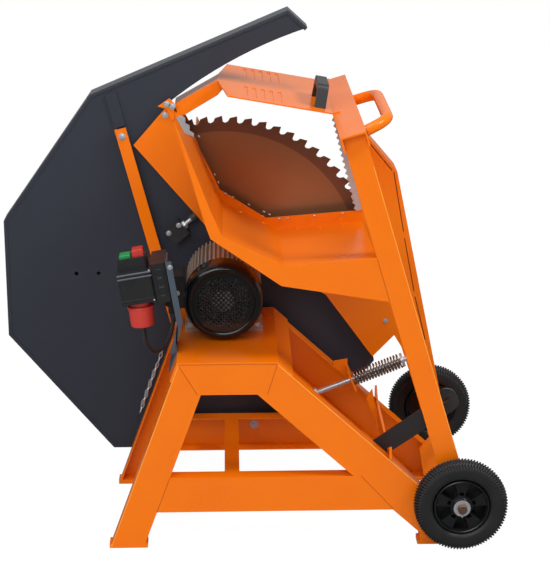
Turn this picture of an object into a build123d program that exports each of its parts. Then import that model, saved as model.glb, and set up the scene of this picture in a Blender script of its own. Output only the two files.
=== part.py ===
"""Tilting firewood saw: a motor-driven blade on a fixed stand and a log cradle that tilts past it.

Millimetres, +Z up, +X towards the operator's side, +Y from the loading end to the blade.
The origin lies on the floor, in the middle of the four anchor holes.
Upright sketches measure x from the blade axis, so the blade stands at x = 0 in them.
"""
from math import atan2, cos, hypot, radians, sin, sqrt, tan
import os

from build123d import *

os.makedirs("parts", exist_ok=True)

# Stand
stand_depth = 396.0
channel_height = 68.0
channel_flange = 36.0
channel_wall = 3.0
beam_top_z = 417.0
top_beam_left = -97.0
top_beam_right = 113.0
left_foot_outer = -250.0
right_leg_slope = 0.917
right_leg_height = 79.0
right_leg_end = 530.0
right_foot_end = 421.0
lower_beam_z = 82.0
lower_beam_height = 79.0
foot_thickness = 10.0
foot_margin = 5.0
foot_left_x = -212.25
foot_right_x = 494.75
anchor_hole = 10.0
anchor_inset = 18.0
tie_tube_x = 15.0
tie_tube_size = 32.0
tie_tube_wall = 2.5
platform_thickness = 4.0
platform_flange = 42.0
rail_x = 352.0
rail_thickness = 5.0
rail_top_z = 205.0
rail_ear = 22.0
rail_ear_width = 34.0

# Axle and wheels
axle_x = 504.0
axle_z = 106.0
axle_diameter = 20.0
running_gap = 0.06
wheel_diameter = 201.0
wheel_width = 46.0
wheel_gap = 1.5
rim_diameter = 120.0
hub_diameter = 44.0
tread_lugs = 56
tread_form = [(0.0, 0.0), (0.45, 0.0), (0.55, 1.0), (0.9, 1.0)]
tread_depth = 5.0
tread_shoulder = 0.14
rim_share = 0.17
rim_wall = 6.0
rim_web = 10.0
rim_windows = 5
rim_window_inner = 28.0
rim_window_outer = 52.0
rim_window_share = 0.25
axle_overhang = 12.0
axle_chamfer = 1.0
bearing_plate = 6.0
bearing_radius = 24.0
bearing_foot = 36.0
bearing_shoulder = 60.0
washer_diameter = 36.0
washer_thickness = 2.5
washer_gap = 0.24
split_pin = 3.2
split_pin_reach = 8.0

# Motor and blade
shaft_height = 90.0
motor_body_radius = 74.0
fin_radius = 84.0
fin_count = 52
fin_width = 3.5
fan_cover_length = 58.0
fan_cover_radius = 86.0
cover_wall = 2.0
cover_round = 14.0
cover_bevel = 4.2
grille_pitch = 14.0
grille_rows = 5
grille_angle = 60.0
grille_radius = 62.0
grille_hole = 8.0
fan_front_gap = 12.0
fan_length = 26.0
fan_blades = 6
fan_blade_radius = 72.0
motor_foot_width = 32.0
motor_foot_thickness = 12.0
motor_foot_inset = 26.0
motor_foot_neck = 46.0
motor_foot_neck_drop = 52.0
seat_gap = 0.02
motor_body_length = 170.0
shield_length = 24.0
shield_step = 12.0
shield_face_radius = 59.0
shield_rim = 9.6
shield_gap = 10.0
shaft_diameter = 24.0
foot_spacing = 140.0
blade_diameter = 700.0
blade_thickness = 3.5
blade_teeth = 64
gullet_depth = 16.0
tooth_form = [(0.0, 0.0), (0.05, 0.85), (0.2, 1.0), (0.4, 0.8), (0.52, 0.3)]
blade_setback = 50.0
flange_diameter = 120.0
flange_thickness = 8.0
arbor_nut_size = 46.0
arbor_nut_length = 18.0

# Blade housing, measured from the blade axis and the tilt axis
panel_thickness = 2.0
housing_gap = 18.0
housing_width = 64.0
shaft_opening = 96.0
arm_radius = 1008.0
housing_left = -501.0
shoulder_depth = 131.2
shoulder_angle = 44.61
housing_waist_z = 116.0
housing_knee_z = -157.0
housing_bottom_z = -440.0
housing_bottom_left = -264.0
housing_bottom_right = 176.0
housing_nose = (351.0, -229.0)
arm_depth = 51.25
arm_top_angle = 19.58
arm_tip_angle = 18.03
arm_root_angle = 38.54
housing_mouth = [(330.0, -110.0), (100.0, 90.0), (-20.0, 180.0), (-110.0, 279.0)]
panel_hole = 9.0
panel_hole_spacing = 51.0
panel_hole_at = (-313.5, -10.0)
spacer_diameter = 20.0
strut_spacer = 15.0
spacer_places = [-40.0, 70.0]

# Strut and end stop
strut_width = 26.0
strut_thickness = 4.0
strut_top = (-229.0, 842.0)
strut_bottom = (-102.0, 352.0)
strut_bolt_inset = 20.0
strap_length = 80.0
strap_overlap = 2.0
stop_block_size = (42.0, 40.0, 26.0)
stop_screw = 10.0
stop_screw_head = 6.0
buffer_diameter = 20.0
buffer_length = 14.0
stop_gap = 0.4
stop_reach = 37.0
stop_from_corner = 36.0

# Cradle
column_width = 47.0
column_depth = 40.0
column_lean = 16.5
column_wall = 3.0
column_gap = 5.0
far_column_gap = 36.0
column_top_z = 906.0
hub_radius = 24.0
guard_thickness = 4.0
guard_shoulder_z = 868.0
boss_length = 8.0
guard_gap = 5.0
guard_spacing = 86.0
trough_thickness = 3.0
trough_drop = 25.0
trough_cut_shift = 28.0
trough_cut_drop = 99.0
far_trough_cut = 80.0
far_trough_run = 164.0
apron_thickness = 3.0
trough_profile = [(-88.0, 919.0), (-24.0, 750.0), (0.0, 695.0), (127.0, 632.0)]
trough_right_z = 648.0
apron_lower = [(121.0, 589.0), (-25.0, 691.0), (-36.0, 722.0), (-97.0, 938.0)]
apron_right_z = 552.0
guard_left = [
    (-125.0, 890.0),
    (-200.0, 804.0),
    (-38.0, 613.0),
    (236.0, 448.0),
    (346.0, 296.0),
    (396.0, 348.0),
]
guard_leg_left = [(413.0, 320.0), (476.0, 128.0)]
guard_right = [(522.0, 130.0), (397.0, 738.0), (332.0, 815.0)]
mouth_left = [(98.0, 632.0), (-7.0, 700.0), (-18.0, 726.0), (-64.0, 819.0), (-92.0, 872.0)]
mouth_right = [(306.0, 648.0), (251.0, 866.0)]
edge_wall_thickness = 3.0
edge_wall_start = 60.0
beam_gap = 0.3
beam_thickness = 4.0
beam_flange = 28.0
beam_overhang = 167.0
beam_near_overhang = 15.0
hood_thickness = 3.0
hood_left = (-104.0, 893.0)
hood_kink = (-9.0, 946.0)
hood_tongue = 17.0
hood_near_reach = 163.0
hood_far_reach = 166.0
hood_corner = 22.0
hood_flange = 30.0
hood_flange_taper = 6.0
hood_flange_end = 22.5
slot_count = 5
slot_pitch = 19.0
slot_width = 8.0
slot_length = 130.0
slot_depth = 1.5
slot_first_x = 54.0
slot_row = 121.0
strip_thickness = 3.0
strip_teeth = 16
left_strip_teeth = 3
strip_depth = 6.0
strip_width = 12.0
push_bar_diameter = 20.0
push_bar_reach = 53.0
push_bar_lift = 5.0
push_bar_drop = 16.0
push_bar_start = 79.0
push_bar_length = 349.0
push_bar_bend = 24.0
push_bar_splay = 24.0
bow_length = 150.0
bow_height = 50.0
bow_width = 24.0
bow_band = 16.0
bow_x = 202.0
bow_start = 35.0
bow_slant_share = 0.8

# Return spring and latch
rod_lug = (432.0, 320.5)
rod_angle = 21.4
rod_diameter = 12.0
rod_length = 244.0
rod_inset = 67.0
lug_pin = 12.0
pin_head = 20.0
pin_head_height = 5.0
pin_play = 0.3
rod_eye = 12.0
rod_eye_radius = 11.0
rod_nut = 10.0
rod_root_share = 0.75
collar_height = 6.0
spring_wire = 4.0
spring_diameter = 33.0
spring_turns = 15
spring_start = 28.0
spring_length = 119.0
spring_play = 0.3
bracket_thickness = 4.0
bracket_side = 23.0
bracket_inset = 8.0
bracket_cheek = 52.0
cheek_height = 11.0
cheek_rise = 12.0
bracket_rise = 28.0
bracket_drop = 80.0
bracket_foot_length = 48.0
rod_slot_extra = 12.0
rod_slot_play = 2.0
latch_thickness = 6.0
latch_pivot_z = 285.0
latch_pin = 12.0
latch_inset = 52.0
latch_width = 45.0
latch_angle = 35.0
latch_outline = [
    (-150.0, 22.0),
    (-148.0, -20.0),
    (30.0, -22.0),
    (48.0, -20.0),
    (56.0, -14.0),
    (62.0, 18.0),
    (46.0, 30.0),
    (36.0, 30.0),
    (4.0, 22.0),
]
latch_slot = (16.0, 6.0)
latch_slot_at = (38.0, 8.0)
notch_left = 5.0
notch_right = 2.0
notch_slant = 15.0
latch_gap = 0.5

# Switch, inlet and cable
switch_inset = 108.0
switch_body = (74.0, 98.0, 72.0)
switch_front = 36.0
switch_lean = 9.3
switch_bottom_z = 542.0
head_size = (62.0, 48.0, 26.0)
button_size = (24.0, 30.0, 12.0)
button_spacing = 28.0
button_gap = 0.4
button_travel = 3.0
stop_button_rise = 8.0
back_box_width = 33.0
back_box_depth = 110.0
back_box_height = 86.0
inlet_diameter = 58.0
inlet_length = 50.0
inlet_collar = 66.0
inlet_collar_height = 12.0
inlet_wall = 3.0
inlet_pin = 6.0
pin_circle = 29.0
switch_bracket_thickness = 3.0
switch_bracket_width = 80.0
terminal_box = (46.0, 84.0, 70.0)
terminal_inset = 94.0
gland_diameter = 22.0
gland_length = 26.0
cable_diameter = 10.0
switch_bracket_x = -97.0
switch_bracket_top_z = 624.0
switch_bracket_bend_z = 487.0
switch_bracket_flange = 10.0
switch_round = 6.0
button_well = 8.0
button_bevel = 2.0
inlet_pin_count = 5
gland_margin = 1.0
motor_gland_shift = 6.0
cable_low_z = 395.0
cable_bend = 40.0

# Values worked out from the sizes above
blade_x = -(foot_left_x + foot_right_x) / 2
stand_front_y = -stand_depth / 2
stand_back_y = stand_depth / 2
flange_front_y = stand_front_y + channel_flange
flange_back_y = stand_back_y - channel_flange
platform_top_z = beam_top_z + platform_thickness
blade_z = platform_top_z + shaft_height
lean = tan(radians(column_lean))
anchor_y = stand_back_y - anchor_inset
shield_end_y = stand_back_y - shield_gap
motor_body_end_y = shield_end_y - shield_length
motor_front_y = motor_body_end_y - motor_body_length - fan_cover_length
terminal_box_y = motor_body_end_y - terminal_inset
switch_y = stand_front_y + switch_inset
latch_y = stand_front_y + latch_inset
column_front_y = stand_front_y - column_gap
near_guard_y = stand_back_y + guard_gap
near_guard_back = near_guard_y + guard_thickness
far_guard_y = near_guard_y + guard_spacing
far_guard_back = far_guard_y + guard_thickness
housing_front_y = stand_back_y + housing_gap
housing_back_y = housing_front_y + housing_width
blade_y = stand_back_y + blade_setback
far_column_y = far_guard_back + far_column_gap
beam_far_y = far_guard_back + beam_overhang
beam_near_y = column_front_y - beam_near_overhang
hood_near_y = near_guard_y - hood_near_reach
hood_far_y = far_guard_y + hood_far_reach
rod_y = stand_back_y - rod_inset
bracket_front_y = rod_y - bracket_side
bracket_back_y = stand_back_y - bracket_inset


def upright(y):
    """Plane facing the loading end: local x from the blade axis, local y upwards."""
    return Plane(origin=(blade_x, y, 0), x_dir=(1, 0, 0), z_dir=(0, -1, 0))


def level(z):
    """Horizontal plane: local x from the blade axis, local y along +Y."""
    return Plane(origin=(blade_x, 0, z))


def meet(a, b, c, d):
    """Point where the line through a and b crosses the line through c and d."""
    cross = (b[0] - a[0]) * (d[1] - c[1]) - (b[1] - a[1]) * (d[0] - c[0])
    t = ((c[0] - a[0]) * (d[1] - c[1]) - (c[1] - a[1]) * (d[0] - c[0])) / cross
    return (a[0] + t * (b[0] - a[0]), a[1] + t * (b[1] - a[1]))


def shifted(a, b, distance):
    """The segment from a to b moved sideways to its left by a distance."""
    length = hypot(b[0] - a[0], b[1] - a[1])
    nx = -(b[1] - a[1]) / length * distance
    nz = (b[0] - a[0]) / length * distance
    return (a[0] + nx, a[1] + nz), (b[0] + nx, b[1] + nz)


def ribbon(points, thickness):
    """Closed outline of a folded sheet: a line of points and its mitred copy to the left."""
    pairs = [shifted(a, b, thickness) for a, b in zip(points, points[1:])]
    middle = [meet(*first, *second) for first, second in zip(pairs, pairs[1:])]
    return points + ([pairs[0][0]] + middle + [pairs[-1][1]])[::-1]


def along(a, b, distance):
    """Point at a distance from a on the way to b."""
    length = hypot(b[0] - a[0], b[1] - a[1])
    return (a[0] + (b[0] - a[0]) * distance / length, a[1] + (b[1] - a[1]) * distance / length)


def column_x(z, side=0.0):
    """Horizontal place of the leaning column's middle, or of its edge on side -1 or +1."""
    return axle_x - (z - axle_z) * lean + side * column_width / 2 / cos(radians(column_lean))


def column_point(run, side):
    """Point at a run up the leaning column from the axle and at a distance to the right of its middle."""
    angle = radians(column_lean)
    return (axle_x - run * sin(angle) + side * cos(angle), axle_z + run * cos(angle) + side * sin(angle))


def about_axle(radius, angle):
    """Point at a radius about the tilt axis, at an angle in degrees to the left of upright."""
    return (axle_x - radius * sin(radians(angle)), axle_z + radius * cos(radians(angle)))


def leaned(x, z):
    """Where a point of the upright switch lies once the switch leans left with its bracket."""
    angle = radians(switch_lean)
    across = x - switch_bracket_x
    up = z - switch_bracket_bend_z
    return (
        switch_bracket_x + across * cos(angle) - up * sin(angle),
        switch_bracket_bend_z + across * sin(angle) + up * cos(angle),
    )


def finish(builder, name, lean=0.0):
    """Label one finished piece and write it, leaned left about the switch bracket's bend if asked."""
    bend = Axis((blade_x + switch_bracket_x, 0, switch_bracket_bend_z), (0, 1, 0))
    shape = builder.part.rotate(bend, -lean)
    shape.label = name
    export_step(shape, f"parts/{name}.step")


# Stand legs and beams: channels whose webs face outwards and whose flanges point inwards
beam_under_z = beam_top_z - channel_height
lower_top_z = lower_beam_z + lower_beam_height
left_outer = ((left_foot_outer, 0.0), (top_beam_left, beam_top_z))
left_inner = shifted(left_outer[0], left_outer[1], -channel_height)
right_foot = (top_beam_right + beam_top_z / right_leg_slope, 0.0)
right_outer = ((top_beam_right, beam_top_z), right_foot)
right_inner = shifted(right_outer[0], right_outer[1], -right_leg_height)


def level_line(z):
    """Two points of a horizontal line at a height."""
    return (0.0, z), (1.0, z)


left_leg = [
    left_outer[1],
    meet(*left_outer, *level_line(foot_thickness)),
    meet(*left_inner, *level_line(foot_thickness)),
    meet(*left_inner, *level_line(beam_under_z)),
]
top_beam = [
    left_outer[1],
    left_leg[3],
    meet(*right_inner, *level_line(beam_under_z)),
    right_outer[0],
]
right_leg = [
    right_outer[0],
    top_beam[2],
    meet(*right_inner, (right_foot_end, 0.0), (right_foot_end, 1.0)),
    (right_foot_end, foot_thickness),
    (right_leg_end, foot_thickness),
    (right_leg_end, beam_top_z - (right_leg_end - top_beam_right) * right_leg_slope),
]
lower_beam = [
    meet(*left_inner, *level_line(lower_top_z)),
    meet(*left_inner, *level_line(lower_beam_z)),
    meet(*right_inner, *level_line(lower_beam_z)),
    meet(*right_inner, *level_line(lower_top_z)),
]


def hollow(first, second):
    """Outline between two channel flanges, run out past both ends of the member."""
    a, b = shifted(first[0], first[1], channel_wall)
    c, d = shifted(second[0], second[1], channel_wall)
    run = channel_height
    return [along(a, b, -run), along(b, a, -run), along(c, d, -run), along(d, c, -run)]


members = {
    "left_legs": (left_leg, (left_leg[0], left_leg[1]), (left_leg[2], left_leg[3])),
    "top_beams": (top_beam, (top_beam[3], top_beam[0]), (top_beam[1], top_beam[2])),
    "right_legs": (right_leg, (right_leg[1], right_leg[2]), (right_leg[5], right_leg[0])),
    "lower_beams": (lower_beam, (lower_beam[3], lower_beam[0]), (lower_beam[1], lower_beam[2])),
}
for name, (outline, first_flange, second_flange) in members.items():
    with BuildPart() as member_pair:
        with BuildSketch(upright(flange_front_y)):
            Polygon(*outline, align=None)
        extrude(amount=channel_flange)
        with BuildSketch(upright(flange_front_y)):
            Polygon(*hollow(first_flange, second_flange), align=None)
        extrude(amount=channel_flange - channel_wall, mode=Mode.SUBTRACT)
        mirror(about=Plane.XZ)
    finish(member_pair, name)

# Foot plates under the legs, each with an anchor hole inside the channel
foot_spans = [
    (left_leg[1][0] - foot_margin, left_leg[2][0] + foot_margin, foot_left_x),
    (right_foot_end - foot_margin, right_leg_end, foot_right_x),
]
with BuildPart() as foot_plates:
    with BuildSketch(level(0)):
        for start, end, hole_x in foot_spans:
            for side in (-1, 1):
                with Locations(((start + end) / 2, side * (stand_back_y + flange_back_y) / 2)):
                    Rectangle(end - start, channel_flange)
                with Locations((hole_x, side * anchor_y)):
                    Circle(anchor_hole / 2, mode=Mode.SUBTRACT)
    extrude(amount=foot_thickness)
finish(foot_plates, "foot_plates")

# Tie tube between the lower beams
tie_tube_inside = tie_tube_size - 2 * tie_tube_wall
with BuildPart() as tie_tube:
    with BuildSketch(upright(flange_back_y)):
        with Locations((tie_tube_x, lower_top_z - tie_tube_size / 2)):
            Rectangle(tie_tube_size, tie_tube_size)
            Rectangle(tie_tube_inside, tie_tube_inside, mode=Mode.SUBTRACT)
    extrude(amount=flange_back_y - flange_front_y)
finish(tie_tube, "tie_tube")

# Latch rail: an upright plate across the right legs, with an ear over each leg and a tongue between them
rail_seat = meet(*right_outer, (rail_x, 0.0), (rail_x, 1.0))[1]
rail_low = rail_seat - channel_height / 2
ear_top = rail_top_z + rail_ear
ear_y = stand_back_y - rail_ear_width
rail_half = [
    (stand_back_y, rail_seat),
    (stand_back_y, ear_top),
    (ear_y, rail_top_z),
]
rail_plane = Plane(origin=(blade_x + rail_x, 0, 0), x_dir=(0, 1, 0), z_dir=(1, 0, 0))
with BuildPart() as latch_rail:
    with BuildSketch(rail_plane):
        Polygon(
            (flange_back_y, rail_low),
            (flange_back_y, rail_seat),
            *rail_half,
            *[(-y, z) for y, z in rail_half[::-1]],
            (flange_front_y, rail_seat),
            (flange_front_y, rail_low),
            align=None,
        )
    extrude(amount=rail_thickness)
finish(latch_rail, "latch_rail")

# Platform: a folded sheet over both top beams, its flanges lying on the legs
platform_line = [
    along(left_outer[1], left_outer[0], platform_flange),
    left_outer[1],
    right_outer[0],
    along(right_outer[0], right_outer[1], platform_flange),
]
with BuildPart() as platform:
    with BuildSketch(upright(stand_back_y)):
        Polygon(*ribbon(platform_line, platform_thickness), align=None)
    extrude(amount=stand_depth)
finish(platform, "platform")

# Bearing plates: one on each right leg's flange edges, carrying the axle
with BuildPart() as bearing_plates:
    for back_y in (flange_front_y + bearing_plate, flange_back_y):
        with BuildSketch(upright(back_y)):
            Polygon(
                (axle_x - 2 * bearing_radius, axle_z - bearing_radius),
                (axle_x - bearing_foot, foot_thickness),
                (right_leg_end, foot_thickness),
                (axle_x + bearing_radius, axle_z),
                (axle_x - bearing_radius / 2, axle_z + bearing_radius * sin(radians(bearing_shoulder))),
                align=None,
            )
            with Locations((axle_x, axle_z)):
                Circle(bearing_radius)
                Circle(axle_diameter / 2 + seat_gap, mode=Mode.SUBTRACT)
        extrude(amount=bearing_plate)
finish(bearing_plates, "bearing_plates")

# Axle, end washers and split pins
front_wheel_y = column_front_y - wheel_gap - wheel_width
rear_wheel_y = far_column_y + column_depth + wheel_gap
axle_front_y = front_wheel_y - axle_overhang
axle_back_y = rear_wheel_y + wheel_width + axle_overhang
with BuildPart() as axle:
    with BuildSketch(upright(axle_back_y)):
        with Locations((axle_x, axle_z)):
            Circle(axle_diameter / 2)
    extrude(amount=axle_back_y - axle_front_y)
    chamfer(axle.edges().filter_by(GeomType.CIRCLE), axle_chamfer)
finish(axle, "axle")
pin_offset = wheel_gap + washer_thickness + split_pin
rear_outer_y = rear_wheel_y + wheel_width + washer_thickness
with BuildPart() as axle_fasteners:
    for washer_y in (front_wheel_y - washer_gap, rear_outer_y + washer_gap):
        with BuildSketch(upright(washer_y)):
            with Locations((axle_x, axle_z)):
                Circle(washer_diameter / 2)
                Circle(axle_diameter / 2 + seat_gap, mode=Mode.SUBTRACT)
        extrude(amount=washer_thickness)
    for pin_y in (front_wheel_y - pin_offset, rear_wheel_y + wheel_width + pin_offset):
        for side in (-1, 1):
            pin_plane = Plane(origin=(blade_x + axle_x, pin_y, axle_z), z_dir=(0, 0, side))
            with BuildSketch(pin_plane.offset(axle_diameter / 2)):
                Circle(split_pin / 2)
            extrude(amount=split_pin_reach)
finish(axle_fasteners, "axle_fasteners")

# Wheels: a moulded rim with windows inside a knobbly solid tyre
wheel_axis = Axis((blade_x + axle_x, 0, axle_z), (0, 1, 0))
tyre_inner = rim_diameter / 2
tread_radius = wheel_diameter / 2
lug_step = 360 / tread_lugs
tread_outline = []
for lug in range(tread_lugs):
    for share, sunk in tread_form:
        angle = radians((lug + share) * lug_step)
        radius = tread_radius - sunk * tread_depth
        tread_outline.append((axle_x + radius * cos(angle), axle_z + radius * sin(angle)))
shoulder = wheel_width * tread_shoulder
rim_inset = wheel_width * rim_share
window_half = rim_window_share * 360 / rim_windows
window_corners = [
    (rim_window_inner, -window_half),
    (rim_window_outer, -window_half),
    (rim_window_outer, 0.0),
    (rim_window_outer, window_half),
    (rim_window_inner, window_half),
    (rim_window_inner, 0.0),
]
window_outlines = []
for window in range(rim_windows):
    turn = 90 + window * 360 / rim_windows
    corners = [(radius, radians(turn + angle)) for radius, angle in window_corners]
    window_outlines.append([(axle_x + r * cos(a), axle_z + r * sin(a)) for r, a in corners])
for name, wheel_y in (("front", front_wheel_y), ("rear", rear_wheel_y)):
    with BuildPart() as tyre:
        with BuildSketch(upright(wheel_y + wheel_width - shoulder)):
            Polygon(*tread_outline, align=None)
            with Locations((axle_x, axle_z)):
                Circle(tyre_inner, mode=Mode.SUBTRACT)
        extrude(amount=wheel_width - 2 * shoulder)
        wheel_middle = (blade_x + axle_x, wheel_y, axle_z)
        with BuildSketch(Plane(origin=wheel_middle, x_dir=(0, 1, 0), z_dir=(1, 0, 0))):
            Polygon(
                (rim_inset, tyre_inner),
                (wheel_width - rim_inset, tyre_inner),
                (wheel_width, tyre_inner + shoulder),
                (wheel_width, tread_radius - 2 * tread_depth),
                (wheel_width - shoulder, tread_radius - tread_depth),
                (shoulder, tread_radius - tread_depth),
                (0, tread_radius - 2 * tread_depth),
                (0, tyre_inner + shoulder),
                align=None,
            )
        revolve(axis=wheel_axis)
    finish(tyre, f"{name}_tyre")
    with BuildPart() as rim:
        with BuildSketch(upright(wheel_y + wheel_width - rim_inset)):
            with Locations((axle_x, axle_z)):
                Circle(tyre_inner)
                Circle(tyre_inner - rim_wall, mode=Mode.SUBTRACT)
        extrude(amount=wheel_width - 2 * rim_inset)
        with BuildSketch(upright(wheel_y + (wheel_width + rim_web) / 2)):
            with Locations((axle_x, axle_z)):
                Circle(tyre_inner - rim_wall / 2)
        extrude(amount=rim_web)
        with BuildSketch(upright(wheel_y + wheel_width)):
            with Locations((axle_x, axle_z)):
                Circle(hub_diameter / 2)
        extrude(amount=wheel_width)
        with BuildSketch(upright(wheel_y + wheel_width)):
            for outline in window_outlines:
                Polygon(*outline, align=None)
            with Locations((axle_x, axle_z)):
                Circle(axle_diameter / 2 + running_gap)
        extrude(amount=wheel_width, mode=Mode.SUBTRACT)
    finish(rim, f"{name}_rim")

# Motor: finned body on feet, end shield, fan cover with a perforated face, terminal box
motor_axis = (0.0, blade_z)
fin_height = fin_radius - motor_body_radius + fin_width
fin_middle = fin_radius - fin_height / 2
foot_half = foot_spacing / 2 + motor_foot_width / 2
with BuildPart() as motor_body:
    with BuildSketch(upright(motor_body_end_y)):
        with Locations(motor_axis):
            Circle(motor_body_radius)
            with PolarLocations(fin_middle, fin_count):
                Rectangle(fin_height, fin_width)
    extrude(amount=motor_body_length)
    with BuildSketch(upright(motor_body_end_y - motor_foot_inset)):
        Polygon(
            (-foot_half, platform_top_z),
            (foot_half, platform_top_z),
            (foot_half, platform_top_z + motor_foot_thickness),
            (motor_foot_neck, blade_z - motor_foot_neck_drop),
            (-motor_foot_neck, blade_z - motor_foot_neck_drop),
            (-foot_half, platform_top_z + motor_foot_thickness),
            align=None,
        )
    extrude(amount=motor_body_length - 2 * motor_foot_inset)
    with BuildSketch(upright(motor_body_end_y)):
        with Locations(motor_axis):
            Circle(shaft_diameter / 2 + running_gap)
    extrude(amount=motor_body_length, mode=Mode.SUBTRACT)
finish(motor_body, "motor_body")
with BuildPart() as motor_shield:
    with BuildSketch(Plane(origin=(blade_x, motor_body_end_y, blade_z), x_dir=(0, 1, 0), z_dir=(1, 0, 0))):
        Polygon(
            (0, shaft_diameter / 2 + running_gap),
            (shield_length, shaft_diameter / 2 + running_gap),
            (shield_length, shaft_diameter),
            (shield_step, shield_face_radius),
            (shield_rim, motor_body_radius + cover_wall),
            (0, motor_body_radius + cover_wall),
            align=None,
        )
    revolve(axis=Axis((blade_x, 0, blade_z), (0, 1, 0)))
finish(motor_shield, "motor_shield")
grille_spots = []
for row in range(-grille_rows, grille_rows + 1):
    for column in range(-grille_rows, grille_rows + 1):
        spot = ((column + row % 2 / 2) * grille_pitch, row * grille_pitch * sin(radians(grille_angle)))
        if hypot(*spot) < grille_radius:
            grille_spots.append((spot[0], blade_z + spot[1]))
with BuildPart() as fan_cover:
    with BuildSketch(Plane(origin=(blade_x, motor_front_y, blade_z), x_dir=(0, 1, 0), z_dir=(1, 0, 0))):
        inner_radius = fan_cover_radius - cover_wall
        Polygon(
            (0, 0),
            (0, fan_cover_radius - cover_round),
            (cover_bevel, fan_cover_radius - cover_bevel),
            (cover_round, fan_cover_radius),
            (fan_cover_length, fan_cover_radius),
            (fan_cover_length, inner_radius),
            (cover_round + cover_wall, inner_radius),
            (cover_wall, inner_radius - cover_round),
            (cover_wall, 0),
            align=None,
        )
    revolve(axis=Axis((blade_x, 0, blade_z), (0, 1, 0)))
    with BuildSketch(upright(motor_front_y + 2 * cover_wall)):
        with Locations(*grille_spots):
            RegularPolygon(grille_hole / 2, 6)
    extrude(amount=3 * cover_wall, mode=Mode.SUBTRACT)
finish(fan_cover, "fan_cover")
with BuildPart() as terminal_case:
    with BuildSketch(upright(terminal_box_y + terminal_box[1] / 2)):
        with Locations((-fin_radius - terminal_box[0] / 2, blade_z)):
            RectangleRounded(terminal_box[0], terminal_box[2], cover_round / 2)
    extrude(amount=terminal_box[1])
finish(terminal_case, "terminal_box")

# Rotor: shaft, cooling fan, blade flanges, blade and arbor nut
flange_back = blade_y - blade_thickness / 2
flange_front = blade_y + blade_thickness / 2
nut_start_y = flange_front + flange_thickness
shaft_end_y = nut_start_y + arbor_nut_length
fan_start_y = motor_front_y + fan_front_gap
with BuildPart() as motor_shaft:
    with BuildSketch(upright(shaft_end_y)):
        with Locations(motor_axis):
            Circle(shaft_diameter / 2)
    extrude(amount=shaft_end_y - fan_start_y)
finish(motor_shaft, "motor_shaft")
with BuildPart() as cooling_fan:
    with BuildSketch(upright(fan_start_y + fan_length)):
        with Locations(motor_axis):
            Circle(shaft_diameter)
            with PolarLocations(fan_blade_radius / 2, fan_blades):
                Rectangle(fan_blade_radius, cover_wall)
            Circle(shaft_diameter / 2 + seat_gap, mode=Mode.SUBTRACT)
    extrude(amount=fan_length)
finish(cooling_fan, "cooling_fan")
with BuildPart() as blade_flanges:
    for back_y in (flange_back, nut_start_y):
        with BuildSketch(upright(back_y)):
            with Locations(motor_axis):
                Circle(flange_diameter / 2)
                Circle(shaft_diameter / 2 + seat_gap, mode=Mode.SUBTRACT)
        extrude(amount=flange_thickness)
finish(blade_flanges, "blade_flanges")
tooth_step = 360 / blade_teeth
blade_radius = blade_diameter / 2
blade_outline = []
for tooth in range(blade_teeth):
    for share, sunk in tooth_form:
        angle = radians(90 - (tooth + share) * tooth_step)
        radius = blade_radius - sunk * gullet_depth
        blade_outline.append((radius * cos(angle), blade_z + radius * sin(angle)))
with BuildPart() as saw_blade:
    with BuildSketch(upright(flange_front)):
        Polygon(*blade_outline, align=None)
        with Locations(motor_axis):
            Circle(shaft_diameter / 2 + seat_gap, mode=Mode.SUBTRACT)
    extrude(amount=blade_thickness)
finish(saw_blade, "saw_blade")
with BuildPart() as arbor_nut:
    with BuildSketch(upright(shaft_end_y)):
        with Locations(motor_axis):
            RegularPolygon(arbor_nut_size / 2, 6, major_radius=False)
            Circle(shaft_diameter / 2 + seat_gap, mode=Mode.SUBTRACT)
    extrude(amount=arbor_nut_length)
finish(arbor_nut, "arbor_nut")


def from_blade(point):
    """Upright sketch point of a place measured from the blade axis."""
    return (point[0], point[1] + blade_z)


# Blade housing: two panels with the long arm, a strap for the strut, and the rim strip between them
arm_tip = about_axle(arm_radius, arm_tip_angle)
housing_line = [
    from_blade(housing_nose),
    from_blade((housing_bottom_right, housing_bottom_z)),
    from_blade((housing_bottom_left, housing_bottom_z)),
    from_blade((housing_left, housing_knee_z)),
    from_blade((housing_left, housing_waist_z)),
    about_axle(arm_radius + shoulder_depth, shoulder_angle),
    about_axle(arm_radius + arm_depth, arm_top_angle),
    arm_tip,
]
arm_middle = about_axle(arm_radius, (arm_tip_angle + arm_root_angle) / 2)
arm_root = about_axle(arm_radius, arm_root_angle)
mouth_line = [arm_root] + [from_blade(point) for point in housing_mouth[::-1]] + [housing_line[0]]
strap_foot = along(strut_top, strut_bottom, -strap_overlap)
strap_head = along(strut_top, strut_bottom, -strap_length)
strap_left = shifted(strap_foot, strap_head, strut_width / 2)
strap_right = shifted(strap_foot, strap_head, -strut_width / 2)
panel_holes = [
    (panel_hole_at[0] - panel_hole_spacing / 2, panel_hole_at[1] + blade_z),
    (panel_hole_at[0] + panel_hole_spacing / 2, panel_hole_at[1] + blade_z),
]
for name, back_y in (("front_panel", housing_front_y + panel_thickness), ("rear_panel", housing_back_y)):
    with BuildPart() as panel:
        with BuildSketch(upright(back_y)):
            with BuildLine():
                Polyline(*housing_line)
                ThreePointArc(arm_tip, arm_middle, arm_root)
                Polyline(*mouth_line)
            make_face()
            if name == "front_panel":
                with Locations(motor_axis):
                    Circle(shaft_opening / 2, mode=Mode.SUBTRACT)
                with Locations(*panel_holes):
                    Circle(panel_hole / 2, mode=Mode.SUBTRACT)
        extrude(amount=panel_thickness)
        if name == "front_panel":
            with BuildSketch(upright(housing_front_y)):
                Polygon(strap_left[0], strap_right[0], strap_right[1], strap_left[1], align=None)
            extrude(amount=strut_thickness)
    finish(panel, f"housing_{name}")
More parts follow.
